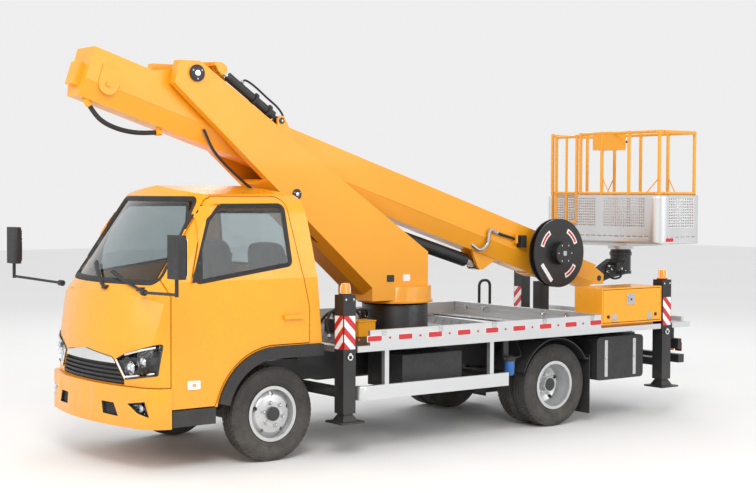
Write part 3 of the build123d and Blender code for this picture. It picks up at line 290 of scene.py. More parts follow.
def dress_nodes():
    for finish, names in BY_MATERIAL:
        for name in names.split():
            obj = nodes[name]
            obj.data.materials.clear()
            obj.data.materials.append(finish)


dress_nodes()

# Shaping helpers: each adds to a mesh in the making, and piece() turns that mesh into an object on its body

def piece(name, bm, finishes, body, sharp=35, bevel=0.0, turn_out=True):
    """An object from a finished mesh, with its finishes, riding on one body."""
    if turn_out:
        bmesh.ops.recalc_face_normals(bm, faces=bm.faces)
    mesh = bpy.data.meshes.new(name)
    bm.to_mesh(mesh)
    bm.free()
    for finish in finishes if isinstance(finishes, tuple) else (finishes,):
        mesh.materials.append(finish)
    mesh.polygons.foreach_set("use_smooth", [True] * len(mesh.polygons))
    mesh.set_sharp_from_angle(angle=math.radians(sharp))
    obj = placed(name, mesh)
    if bevel:
        rounding = obj.modifiers.new("bevel", "BEVEL")
        rounding.width = bevel
        rounding.segments = 2
        rounding.limit_method = "ANGLE"
        rounding.angle_limit = math.radians(40)
    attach(obj, body)
    return obj


def loft(bm, rings, index=0, caps=True, wrap=False):
    """Faces between rings of equally many points, closed round each ring."""
    rows = [[bm.verts.new(p) for p in ring] for ring in rings]
    pairs = list(zip(rows, rows[1:]))
    if wrap:
        pairs.append((rows[-1], rows[0]))
    for low, high in pairs:
        for (a, b), (c, d) in zip(closed(low), closed(high)):
            bm.faces.new((a, b, d, c)).material_index = index
    if caps and not wrap:
        bm.faces.new(rows[0][::-1]).material_index = index
        bm.faces.new(rows[-1]).material_index = index


def circle(centre, axis, radius, sides):
    side = axis.orthogonal().normalized()
    other = axis.normalized().cross(side)
    turns = [2 * math.pi * i / sides for i in range(sides)]
    return [centre + (side * math.cos(a) + other * math.sin(a)) * radius for a in turns]


def turned(bm, centre, axis, profile, sides=24, index=0, wrap=False):
    """A lathe form: profile is (distance along the axis, radius) from one end to the other."""
    axis = axis.normalized()
    loft(bm, [circle(centre + axis * h, axis, max(r, 0.0002), sides) for h, r in profile], index, wrap=wrap)


def stud(bm, place, way, heights, radius, tip, sides=6, index=0):
    """A bolt head, rivet or cap: straight from foot to shoulder, then drawn in to tip at its top."""
    foot, shoulder, top = heights
    turned(bm, place, way, ((foot, radius), (shoulder, radius), (top, tip)), sides, index)


def rod(bm, a, b, radius, sides=12, index=0):
    turned(bm, a, b - a, ((0, radius), ((b - a).length, radius)), sides, index)


def block(bm, low, high, index=0):
    (x0, y0, z0), (x1, y1, z1) = low, high
    loft(bm, [[Vector((x0, y0, z)), Vector((x1, y0, z)), Vector((x1, y1, z)), Vector((x0, y1, z))]
              for z in (z0, z1)], index)


def plate(bm, outline, origin, u, v, thick, index=0):
    """A flat outline in the u, v plane through origin, thick along u x v."""
    out = u.cross(v).normalized() * thick
    low = [origin + u * a + v * b for a, b in outline]
    loft(bm, [low, [p + out for p in low]], index)


def smooth_path(points, steps=6):
    """A path that runs through all the points and bends evenly."""
    points = [Vector(p) for p in points]
    ends = [2 * points[0] - points[1]] + points + [2 * points[-1] - points[-2]]
    path = []
    for a, b, c, d in zip(ends, ends[1:], ends[2:], ends[3:]):
        for i in range(steps):
            t = i / steps
            path.append(0.5 * (2 * b + (c - a) * t + (2 * a - 5 * b + 4 * c - d) * t * t
                               + (3 * b - a - 3 * c + d) * t ** 3))
    return path + [points[-1]]


def tube(bm, points, radius, sides=10, index=0, steps=6):
    path = smooth_path(points, steps)
    ways = [(b - a).normalized() for a, b in zip(path, path[1:])]
    ways = [ways[0]] + [(a + b).normalized() for a, b in zip(ways, ways[1:])] + [ways[-1]]
    side = ways[0].orthogonal().normalized()
    rings = []
    for place, way in zip(path, ways):
        side = (side - way * side.dot(way)).normalized()
        other = way.cross(side)
        rings.append([place + (side * math.cos(a) + other * math.sin(a)) * radius
                      for a in (2 * math.pi * i / sides for i in range(sides))])
    loft(bm, rings, index)


def fitted_hose(bm, points, radius, sides, index, back, ahead):
    """A hose with a steel fitting at each end, which reaches back and ahead of that end."""
    run = [at(*p) for p in points]
    tube(bm, run, radius, sides, index, 7)
    for end, near in ((run[0], run[1]), (run[-1], run[-2])):
        way = (near - end).normalized()
        rod(bm, end - way * back, end + way * ahead, radius + 0.004, 6, 1)


def offset(points, amount):
    """The outline of flat points, grown outwards by an even amount."""
    area = sum(a[0] * b[1] - b[0] * a[1] for a, b in closed(points))
    sign = 1 if area > 0 else -1
    grown = []
    for a, b, c in zip(points[-1:] + points[:-1], points, points[1:] + points[:1]):
        one = Vector((b[0] - a[0], b[1] - a[1])).normalized()
        two = Vector((c[0] - b[0], c[1] - b[1])).normalized()
        n1, n2 = Vector((one.y, -one.x)) * sign, Vector((two.y, -two.x)) * sign
        mid = (n1 + n2) / (1 + n1.dot(n2))
        grown.append((b[0] + mid.x * amount, b[1] + mid.y * amount))
    return grown


def rounded(points, radius, steps=6):
    """The outline with each corner turned into an arc of this radius."""
    path = []
    for a, b, c in zip(points[-1:] + points[:-1], points, points[1:] + points[:1]):
        b2 = Vector(b)
        one, two = (Vector(a) - b2).normalized(), (Vector(c) - b2).normalized()
        half = one.angle(two) / 2
        cut = radius / math.tan(half)
        heart = b2 + (one + two).normalized() * (radius / math.sin(half))
        start, end = b2 + one * cut - heart, b2 + two * cut - heart
        turn = start.angle_signed(end)
        for i in range(steps + 1):
            t = -turn * i / steps
            path.append((heart.x + start.x * math.cos(t) - start.y * math.sin(t),
                         heart.y + start.x * math.sin(t) + start.y * math.cos(t)))
    return path


def oblong(a, b, radius, steps=6):
    """A rounded rectangle of half sizes a and b."""
    return rounded([(-a, -b), (a, -b), (a, b), (-a, b)], radius, steps)


def divided(points, longest=0.06):
    """The closed outline with its long runs cut into shorter ones."""
    path = []
    for a, b in closed(points):
        count = max(1, math.ceil(math.dist(a, b) / longest))
        path += [(a[0] + (b[0] - a[0]) * i / count, a[1] + (b[1] - a[1]) * i / count) for i in range(count)]
    return path


def tree_of(*names):
    """The surface of some CAD nodes, for finding where a line meets it."""
    corners, faces = [], []
    for name in names:
        mesh = nodes[name].data
        start = len(corners)
        corners += [v.co.copy() for v in mesh.vertices]
        faces += [[start + i for i in p.vertices] for p in mesh.polygons]
    return BVHTree.FromPolygons(corners, faces)


def on_surface(tree, place, way, lift=0.0):
    """Where a line from place along way meets the surface, lifted off it."""
    hit, normal = tree.ray_cast(place, way)[:2]
    if hit is None:
        return None
    return hit - normal * math.copysign(lift, normal.dot(way))


def side_spot(tree, x, z, sign=1, lift=0.0):
    """Where a level line from the left, or with sign -1 from the right, meets the surface."""
    return on_surface(tree, at(x, sign * 3, z), -Y * sign, lift)


def front_spot(tree, y, z, lift):
    """Where a level line from ahead of the truck meets the surface."""
    return on_surface(tree, at(4, y, z), -X, lift)


def strip(bm, tree, rows, spot, way, stray=0.02):
    """A closed band laid on a surface: rows are (outline, lift) from its outer edge to its inner one.

    A point that falls into a gap or past an edge takes the middle depth of its neighbours.
    """
    rings = []
    for outline, lift in rows:
        places = [spot(a, b) for a, b in outline]
        hits = [tree.ray_cast(place, way)[:2] for place in places]
        depths = [hit.dot(way) if hit else None for hit, _ in hits]
        known = [depth for depth in depths if depth is not None]
        ring = []
        for i, (place, (hit, normal)) in enumerate(zip(places, hits)):
            beside = [depths[(i + k) % len(depths)] for k in range(-5, 6)]
            beside = sorted([depth for depth in beside if depth is not None] or known)
            near = beside[len(beside) // 2]
            if hit is None or abs(depths[i] - near) > stray:
                ring.append(place + way * (near - lift - place.dot(way)))
            else:
                ring.append(hit - normal * math.copysign(lift, normal.dot(way)))
        rings.append(ring)
    loft(bm, rings, caps=False)


def paint_faces(name, finish, test):
    """Gives another finish to the faces of a CAD node whose corners all pass a test of place and normal."""
    mesh = nodes[name].data
    mesh.materials.append(finish)
    index = len(mesh.materials) - 1
    for face in mesh.polygons:
        if all(test(mesh.vertices[i].co, face.normal) for i in face.vertices):
            face.material_index = index


# Hose at the front of the boom

HOSE_POINTS = ((1.180, 0.055, 2.780), (1.128, 0.055, 2.704), (1.050, 0.055, 2.648), (0.945, 0.055, 2.608),
               (0.830, 0.055, 2.586), (0.715, 0.055, 2.580), (0.608, 0.055, 2.588))
HOSE_R = 0.019


def make_hose():
    data = bpy.data.curves.new("hose_loop", "CURVE")
    data.dimensions = "3D"
    line = data.splines.new("NURBS")
    line.points.add(len(HOSE_POINTS) - 1)
    for point, place in zip(line.points, HOSE_POINTS):
        point.co = (*at(*place), 1)
    line.order_u = 3
    line.use_endpoint_u = True
    line.resolution_u = 12
    data.bevel_depth = HOSE_R
    data.bevel_resolution = 5
    data.use_fill_caps = True
    data.materials.append(RUBBER)
    hose = placed("hose_loop", data)
    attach(hose, "boom")
    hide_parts("boom_hose")
    bare = data.copy()
    bare.bevel_depth = 0
    stand_in = placed("hose_line", bare)
    line_mesh = bpy.data.meshes.new_from_object(stand_in)
    bpy.data.objects.remove(stand_in)


make_hose()


# Cab

SCREEN = [(0.700, 1.428), (0.578, 2.062), (-0.578, 2.062), (-0.700, 1.428)]
REAR_LIGHT = [(0.560, 1.500), (0.560, 1.960), (-0.560, 1.960), (-0.560, 1.500)]
WINDOW = [(0.741, 1.424), (0.548, 1.900), (0.430, 2.012), (-0.148, 2.015), (-0.168, 1.545)]
CORNER_IN = [(0.741, 1.424), (0.636, 1.683), (0.548, 1.900), (0.510, 1.936), (0.472, 1.972), (0.430, 2.012)]
CORNER_OUT = [(0.757, 1.424), (0.676, 1.683), (0.606, 1.905), (0.566, 1.952), (0.538, 2.000), (0.430, 2.022)]
LAMP = [(0.420, 0.846), (0.520, 0.893), (0.842, 0.985), (0.818, 0.742), (0.535, 0.696)]
FOG = [(0.604, 0.526), (0.778, 0.553), (0.806, 0.436), (0.714, 0.466)]
VENT = [(0.292, 0.520), (0.446, 0.520), (0.500, 0.421), (0.310, 0.427)]


def even_rows(outline, radius, steps):
    """Rounded outlines that have equally many points, whatever their size."""
    arc, straight = 7, 24
    rows = []
    for grow, lift in steps:
        ring = rounded(offset(outline, grow), radius + grow, arc)
        full = []
        for i, (a, b) in enumerate(closed(ring)):
            count = straight if i % (arc + 1) == arc else 1
            full += [(a[0] + (b[0] - a[0]) * k / count, a[1] + (b[1] - a[1]) * k / count) for k in range(count)]
        rows.append((full, lift))
    return rows


def make_seals():
    """Rubber round the windscreen, rear light and side windows, and the painted front corner of each window frame."""
    steps = ((0.020, 0.001), (0.012, 0.008), (0.004, 0.009), (-0.016, 0.006), (-0.020, 0.001))
    slim = ((0.013, 0.001), (0.009, 0.006), (0.003, 0.007), (-0.014, 0.006), (-0.020, 0.001))
    shell = tree_of("cab_shell", "cab_glass", "door_left", "door_right")
    bm = bmesh.new()
    strip(bm, shell, even_rows(SCREEN, 0.060, steps), lambda y, z: at(4, y, z), -X, stray=0.15)
    piece("screen_seal", bm, RUBBER, "chassis", turn_out=False)
    bm = bmesh.new()
    strip(bm, shell, even_rows(REAR_LIGHT, 0.050, steps), lambda y, z: at(-0.9, y, z), X)
    piece("rear_seal", bm, RUBBER, "chassis", turn_out=False)
    for side, sign in SIDES:
        door = tree_of(f"door_{side}", f"door_glass_{side}")
        bm = bmesh.new()
        rows = []
        inner, outer = (smooth_path([Vector((*p, 0)) for p in edge]) for edge in (CORNER_IN, CORNER_OUT))
        for a, b in zip(inner, outer):
            row = []
            for k in range(6):
                x, z = (a + (b - a) * k / 5)[:2]
                hit = side_spot(door, x, z, sign, 0.005 + 0.0016 * k)
                row.append(hit or (row[-1] + (b - a).xzy / 5 if row else at(x, sign * 0.76, z)))
            rows.append([bm.verts.new(p) for p in row])
        for low, high in zip(rows, rows[1:]):
            for k in range(5):
                bm.faces.new((low[k], low[k + 1], high[k + 1], high[k]))
        piece(f"door_corner_{side}", bm, PAINT, f"door_{side}", turn_out=False)
        bm = bmesh.new()
        strip(bm, door, even_rows(WINDOW, 0.042, slim), lambda x, z: at(x, sign * 3, z), -Y * sign)
        sail = [(0.757, 1.424), (0.618, 1.868), (0.600, 1.868), (0.640, 1.442)]
        fan = [side_spot(door, x, z, sign, 0.005) for x, z in divided(offset(sail, -0.004), 0.05)]
        heart = bm.verts.new(sum(fan, Vector()) / len(fan))
        rim = [bm.verts.new(p) for p in fan]
        for a, b in closed(rim):
            bm.faces.new((a, b, heart))
        piece(f"window_seal_{side}", bm, RUBBER, f"door_{side}", turn_out=False)


def make_pillar_vents():
    """The slotted black strip on each windscreen pillar."""
    shell = tree_of("cab_shell")
    bm = bmesh.new()
    for _, sign in SIDES:
        out = Vector((0.78, 0.31 * sign, 0.54)).normalized()
        low, high = (on_surface(shell, at(x, sign * y, z) + out * 0.3, -out)
                     for x, y, z in ((0.668, 0.642, 1.825), (0.598, 0.640, 1.940)))
        along = (high - low).normalized()
        wide = along.cross(out).normalized()
        long = (high - low).length
        outline = rounded([(-0.012, 0), (0.012, 0), (0.012, long), (-0.012, long)], 0.011)
        plate(bm, outline, low - out * 0.002, wide, along, 0.011)
        for i in range(6):
            heart = low + along * (0.014 + i * (long - 0.028) / 5) + out * 0.009
            rod(bm, heart - wide * 0.009, heart + wide * 0.009, 0.004, 8)
    piece("pillar_vents", bm, BLACK_PLASTIC, "chassis", bevel=0.002)


def make_lamps():
    """Clear covers with their housings, bowls and projectors, in place of the solid lamps."""
    source = nodes["front_lamps"].data
    lamps = tree_of("front_lamps")
    cover = bmesh.new()
    for face in source.polygons:
        if face.normal.x > 0.25 or abs(face.normal.y) > 0.6 and face.normal.x > -0.1:
            cover.faces.new([cover.verts.new(source.vertices[i].co) for i in face.vertices])
    bmesh.ops.remove_doubles(cover, verts=cover.verts, dist=0.0002)
    obj = piece("lamp_covers", cover, LENS, "chassis", turn_out=False)
    thin = obj.modifiers.new("thin", "SOLIDIFY")
    thin.thickness = 0.0025
    thin.offset = -1
    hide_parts("front_lamps")
    bm = bmesh.new()
    for _, sign in SIDES:
        for outline, radius, depth in ((LAMP, 0.012, 0.020), (FOG, 0.008, 0.014)):
            ring = divided(rounded(offset(outline, -0.003), radius), 0.04)
            front = [front_spot(lamps, sign * y, z, -0.004) for y, z in ring]
            known = next(p for p in front if p)
            front = [p or known for p in front]
            back = [p - X * depth for p in front]
            lip = [p + (sum(front, Vector()) / len(front) - p).normalized() * 0.010 for p in front]
            heart = bm.verts.new(sum(back, Vector()) / len(back))
            rows = [[bm.verts.new(p) for p in row] for row in (front, lip, back)]
            for low, high in zip(rows, rows[1:]):
                for (a, b), (c, d) in zip(closed(low), closed(high)):
                    bm.faces.new((a, b, d, c))
            for a, b in closed(rows[2]):
                bm.faces.new((a, b, heart))
        for y, z, r in ((0.600, 0.792, 0.052), (0.722, 0.842, 0.040), (0.735, 0.500, 0.030)):
            spot = front_spot(lamps, sign * y, z, -0.010)
            turned(bm, spot - X * 0.022, X, ((0, r * 0.5), (0.004, r * 0.62), (0.012, r * 0.9), (0.016, r),
                                             (0.019, r * 0.97), (0.013, r * 0.82), (0.006, r * 0.6)), 28, 1)
            turned(bm, spot - X * 0.018, X, ((0, r * 0.60), (0.010, r * 0.55), (0.017, r * 0.35), (0.020, 0)), 24, 2)
        for run, lift, radius, index in (
                (((0.440, 0.842), (0.532, 0.722), (0.560, 0.722), (0.800, 0.762)), -0.008, 0.007, 3),
                (((0.545, 0.888), (0.680, 0.922), (0.812, 0.958)), -0.010, 0.009, 4)):
            tube(bm, [front_spot(lamps, sign * y, z, lift) for y, z in run], radius, 8, index)
    piece("lamp_insides", bm, (BLACK_PLASTIC, CHROME, PROJECTOR, WHITE, CHROME), "chassis", turn_out=False)


def make_nose():
    """Bright bar, dark vents with their mesh, and the dark pockets behind the lamps."""
    paint_faces("grille", CHROME, lambda c, n: 0.805 < c.z < 0.91 and n.x > 0.35)
    front = tree_of("bumper")
    bm = bmesh.new()
    for _, sign in SIDES:
        low, high = min(p[1] for p in VENT), max(p[1] for p in VENT)
        for i in range(7):
            z = low + 0.012 + i * 0.0135
            ends = [front_spot(front, sign * y, z, 0.006) for y in (0.316, 0.472 - i * 0.006)]
            if abs(ends[0].x - ends[1].x) < 0.03:
                rod(bm, *ends, 0.0035, 6)
        for i in range(9):
            y = 0.322 + i * 0.0165
            ends = [front_spot(front, sign * (y + lean), z, 0.004)
                    for z, lean in ((low + 0.008, 0.012), (high - 0.008, -0.008))]
            if abs(ends[0].x - ends[1].x) < 0.03:
                rod(bm, *ends, 0.0035, 6)
    piece("vent_mesh", bm, BLACK_PLASTIC, "chassis")

    def in_pocket(place, normal):
        return 0.285 < abs(place.y) < 0.505 and 0.410 < place.z < 0.530 and place.x < at(1.205, 0, 0).x

    paint_faces("bumper", BLACK_PLASTIC, in_pocket)

    def inside(outline):
        edges = list(closed(outline))

        def test(place, normal):
            y, z = abs(place.y), place.z
            turns = [(b[0] - a[0]) * (z - a[1]) - (b[1] - a[1]) * (y - a[0]) for a, b in edges]
            return place.x > 0 and (min(turns) > 0 or max(turns) < 0)

        return test

    paint_faces("cab_shell", BLACK_PLASTIC, inside(offset(LAMP, 0.006)))
    paint_faces("bumper", BLACK_PLASTIC, inside(offset(FOG, 0.006)))


def make_doors():
    """Handle cups, lock discs and side lamps of the doors, and the glass of the mirrors."""
    for side, sign in SIDES:
        door = tree_of(f"door_{side}")
        bm = bmesh.new()
        y = max(abs(side_spot(door, -0.165 + dx, 1.086, sign).y) for dx in (-0.05, 0.05))
        plate(bm, oblong(0.085, 0.030, 0.028), at(-0.165, sign * (y - 0.001), 1.092), X * sign, Z, -0.0025)
        turned(bm, at(-0.262, sign * y, 1.134), Y * sign,
               ((-0.002, 0.014), (0.003, 0.014), (0.004, 0.011), (0.0045, 0.004)), 18, 1)
        spot = side_spot(door, 0.731, 0.661, sign)
        plate(bm, oblong(0.055, 0.034, 0.010, 4), spot - Y * sign * 0.001, X * -sign, Z, 0.012, 2)
        plate(bm, oblong(0.014, 0.011, 0.005, 4), spot + Y * sign * 0.010, X * -sign, Z, 0.004, 3)
        piece(f"door_fittings_{side}", bm, (PAINT, STEEL, WHITE, AMBER), f"door_{side}", bevel=0.0015)
    bm = bmesh.new()
    for _, sign in SIDES:
        plate(bm, oblong(0.088, 0.142, 0.03), at(1.1425, sign * 1.405, 1.655), -Y, Z, 0.004)
    piece("mirror_glasses", bm, CHROME, "chassis", bevel=0.0015)


# Seats

def pad(bm, centre, half, lean):
    """A stuffed pad: a rounded block whose top is crowned, with sewn channels across it."""
    crown, channels, power, steps = 0.016, 4, 5.0, 26
    turn = Matrix.Rotation(lean, 3, "Y")
    faces = []
    for axis in range(3):
        for way in (-1, 1):
            grid = []
            for i in range(steps + 1):
                row = []
                for j in range(steps + 1):
                    place = [0.0, 0.0, 0.0]
                    place[axis] = way
                    place[(axis + 1) % 3] = 2 * i / steps - 1
                    place[(axis + 2) % 3] = 2 * j / steps - 1
                    size = sum(abs(c) ** power for c in place) ** (1 / power)
                    x, y, z = (c / size for c in place)
                    swell = crown * (1 - x * x) * (1 - y * y) if z > 0 else 0
                    pull = 1 - 0.018 * (1 - z * z)
                    dip = 0
                    if z > 0.55:
                        for k in range(channels):
                            line = -0.55 + 1.1 * k / (channels - 1)
                            dip -= 0.007 * math.exp(-((y - line) / 0.030) ** 2)
                    row.append(bm.verts.new(centre + turn @ Vector((x * half[0] * pull, y * half[1] * pull,
                                                                    z * half[2] + swell + dip))))
                grid.append(row)
            faces.append(grid)
    for grid in faces:
        for i in range(steps):
            for j in range(steps):
                bm.faces.new((grid[i][j], grid[i + 1][j], grid[i + 1][j + 1], grid[i][j + 1]))
    bmesh.ops.remove_doubles(bm, verts=bm.verts, dist=0.0004)


SEAT_Y = 0.42


def make_seats():
    """Two seats: a stuffed cushion and back each, on a plain frame."""
    for side, sign in SIDES:
        for name, x, z, half, lean in (("cushion", 0.035, 1.040, (0.262, 0.262, 0.066), 0),
                                       ("back", -0.235, 1.420, (0.295, 0.246, 0.050), 98)):
            bm = bmesh.new()
            pad(bm, at(x, sign * SEAT_Y, z), half, math.radians(lean))
            cushion = piece(f"seat_{name}_{side}", bm, CLOTH, "chassis", sharp=80)
    bm = bmesh.new()
    for _, sign in SIDES:
        block(bm, at(-0.22, sign * SEAT_Y - 0.22, 0.968), at(0.29, sign * SEAT_Y + 0.22, 0.984))
        for dy in (-0.16, 0.16):
            rod(bm, at(-0.20, sign * SEAT_Y + dy, 0.99), at(-0.295, sign * SEAT_Y + dy, 1.60), 0.011)
    frame_piece = piece("seat_frames", bm, BLACK_PAINT, "chassis", bevel=0.004)
    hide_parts("seats")


# Wheels

REAR_X = -3.015
NUTS, NUT_RING_R = 6, 0.092


def make_tyre(name, node, body, x, middles):
    """Tyres with a round shoulder, two wall ridges and a blocked tread."""
    bm = bmesh.new()
    base = TYRE_R - 0.009
    half = 0.0925
    wall = ((0.2215, 0.070), (0.2300, 0.080), (0.2480, 0.0855), (0.2510, 0.0885), (0.2550, 0.0860), (0.2850, half),
            (0.3080, half), (0.3110, half + 0.0006), (0.3150, half - 0.0006), (0.3330, 0.0890), (0.3520, 0.0815),
            (base - 0.004, 0.0735), (base, 0.0640))
    profile = [(-h, r) for r, h in wall] + [(h, r) for r, h in reversed(wall)]
    ribs = ((-0.074, -0.041, 0.0), (-0.033, -0.004, 0.5), (0.004, 0.033, 0.0), (0.041, 0.074, 0.5))
    count = 54
    for middle in middles:
        heart = at(x, middle, TYRE_R)
        turned(bm, heart, Y, profile, 80, wrap=True)
        for low, high, phase in ribs:
            for i in range(count):
                start = 2 * math.pi * (i + phase) / count
                rings = []
                for share in (0.0, 0.42, 0.82):
                    a = start + 2 * math.pi / count * share
                    drift = 0.010 * share
                    ring = []
                    for r, y in ((base - 0.006, low), (base - 0.006, high), (TYRE_R - 0.0006, high - 0.001),
                                 (TYRE_R - 0.0006, low + 0.001)):
                        fall = 0.0035 if abs(y) > 0.07 else 0
                        a2 = a + drift * (y - low) / 0.03
                        ring.append(heart + Vector((math.cos(a2) * (r - fall), y, math.sin(a2) * (r - fall))))
                    rings.append(ring)
                loft(bm, rings)
    obj = piece(name, bm, TYRE, body, sharp=32)
    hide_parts(node)


def make_wheels():
    """Tyres, wheel nuts, valves and hub caps."""
    for side, sign in SIDES:
        make_tyre(f"front_tread_{side}", f"tyre_front_{side}", f"wheel_front_{side}", 0, (sign * 0.759,))
        make_tyre(f"rear_tread_{side}", f"tyres_rear_{side}", f"wheels_rear_{side}", REAR_X,
                  (sign * 0.605, sign * 0.820))
        for end, x, body, node, cap_r in (("front", 0, f"wheel_front_{side}", f"rim_front_{side}", 0.055),
                                          ("rear", REAR_X, f"wheels_rear_{side}", f"rims_rear_{side}", 0.060)):
            rim = tree_of(node)
            bm = bmesh.new()
            hub = at(x, 0, TYRE_R)
            for i in range(NUTS):
                a = 2 * math.pi * (i + 0.25) / NUTS
                around = Vector((math.cos(a) * NUT_RING_R, sign * 2, math.sin(a) * NUT_RING_R))
                spot = on_surface(rim, hub + around, -Y * sign)
                stud(bm, spot, Y * sign, (-0.004, 0.003, 0.005), 0.018, 0.0145, 18)
                stud(bm, spot, Y * sign, (0.002, 0.018, 0.022), 0.0145, 0.011, 6)
                stud(bm, spot, Y * sign, (0.015, 0.030, 0.032), 0.007, 0.005, 12)
            valve = on_surface(rim, hub + Vector((0.165, sign * 2, 0.03)), -Y * sign)
            rod(bm, valve - Y * sign * 0.004, valve + Y * sign * 0.028 + X * 0.006, 0.0045, 10, 1)
            cap = on_surface(rim, hub + Y * sign * 2, -Y * sign)
            turned(bm, cap, Y * sign, ((-0.010, cap_r), (0.000, cap_r), (0.003, cap_r * 0.96),
                                       (0.0045, cap_r * 0.72), (0.0025, cap_r * 0.66), (0.0025, 0)), 36, 1)
            piece(f"wheel_nuts_{end}_{side}", bm, (STEEL, BLACK_PAINT), body, sharp=28)


make_seals()
make_pillar_vents()
make_lamps()
make_nose()
make_doors()
make_seats()
make_wheels()


# Deck, boards, posts and boxes

def cut_band(points, low, high):
    """The part of a flat outline whose second number lies between low and high."""
    for limit, keep in ((low, 1), (high, -1)):
        kept = []
        for a, b in closed(points):
            a_in, b_in = (a[1] - limit) * keep >= 0, (b[1] - limit) * keep >= 0
            if a_in:
                kept.append(a)
            if a_in != b_in:
                t = (limit - a[1]) / (b[1] - a[1])
                kept.append((a[0] + (b[0] - a[0]) * t, limit))
        points = kept
    return points


def striped(bm, origin, u, wide, tall, out):
    """Red and white slanting bands on a plate that stands off its post."""
    band = 0.062
    low = -wide
    number = 0
    while low < tall + wide:
        corners = [(0, low), (wide, low + wide), (wide, low + wide + band), (0, low + band)]
        shape = cut_band(corners, 0, tall)
        if len(shape) > 2:
            first = [origin + u * a + Z * b for a, b in shape]
            loft(bm, [first, [p + out * 0.0025 for p in first]], number % 2)
        low += band
        number += 1


POST_Y = 0.979


def make_posts():
    """Hazard stripes on the outrigger posts, the beacons' cages on top, and each post's ring and bolts."""
    for end, x in (("front", -0.600), ("rear", -4.362)):
        for side, sign in SIDES:
            bm = bmesh.new()
            wide, low, tall = 0.108, 0.862, 0.268
            striped(bm, at(x - wide / 2, sign * 1.0402, low), X, wide, tall, Y * sign)
            if end == "front" or side == "right":
                striped(bm, at(x + 0.0612, sign * POST_Y - wide / 2, low), Y, wide, tall, X)
            piece(f"stripes_{end}_{side}", bm, (RED, WHITE), "chassis")
            bm = bmesh.new()
            top = at(x, sign * POST_Y, 1.297)
            for i in range(6):
                a = math.pi * i / 3
                side_way = Vector((math.cos(a), math.sin(a), 0)) * 0.043
                tube(bm, [top + side_way * share + Z * z for share, z in
                          ((1, 0.004), (1.02, 0.050), (0.8, 0.084), (0.25, 0.092))], 0.0028, 6, 1, 4)
            stud(bm, top, Z, (-0.001, 0.010, 0.013), 0.050, 0.044, 28)
            stud(bm, at(x, sign * POST_Y, 1.389), Z, (-0.006, 0.001, 0.002), 0.014, 0.006, 18, 1)
            for dx in (-0.038, 0.038):
                spot = at(x + dx, sign * 1.040, 1.262)
                stud(bm, spot, Y * sign, (-0.001, 0.006, 0.008), 0.010, 0.006, 6, 2)
            ring = [at(x, sign * 1.052, 0.800) + Vector((math.cos(a) * 0.022, 0, math.sin(a) * 0.022))
                    for a in (2 * math.pi * i / 16 for i in range(16))]
            loft(bm, [circle(p, (ring[(i + 1) % 16] - p), 0.005, 8) for i, p in enumerate(ring)], 1, wrap=True)
            block(bm, at(x - 0.012, sign * 1.046 - 0.008, 0.812), at(x + 0.012, sign * 1.046 + 0.008, 0.834), 2)
            piece(f"post_top_{end}_{side}", bm, (BLACK_PLASTIC, WHITE, STEEL), "chassis", bevel=0.0012)


REFLECTOR_PITCH = 0.318


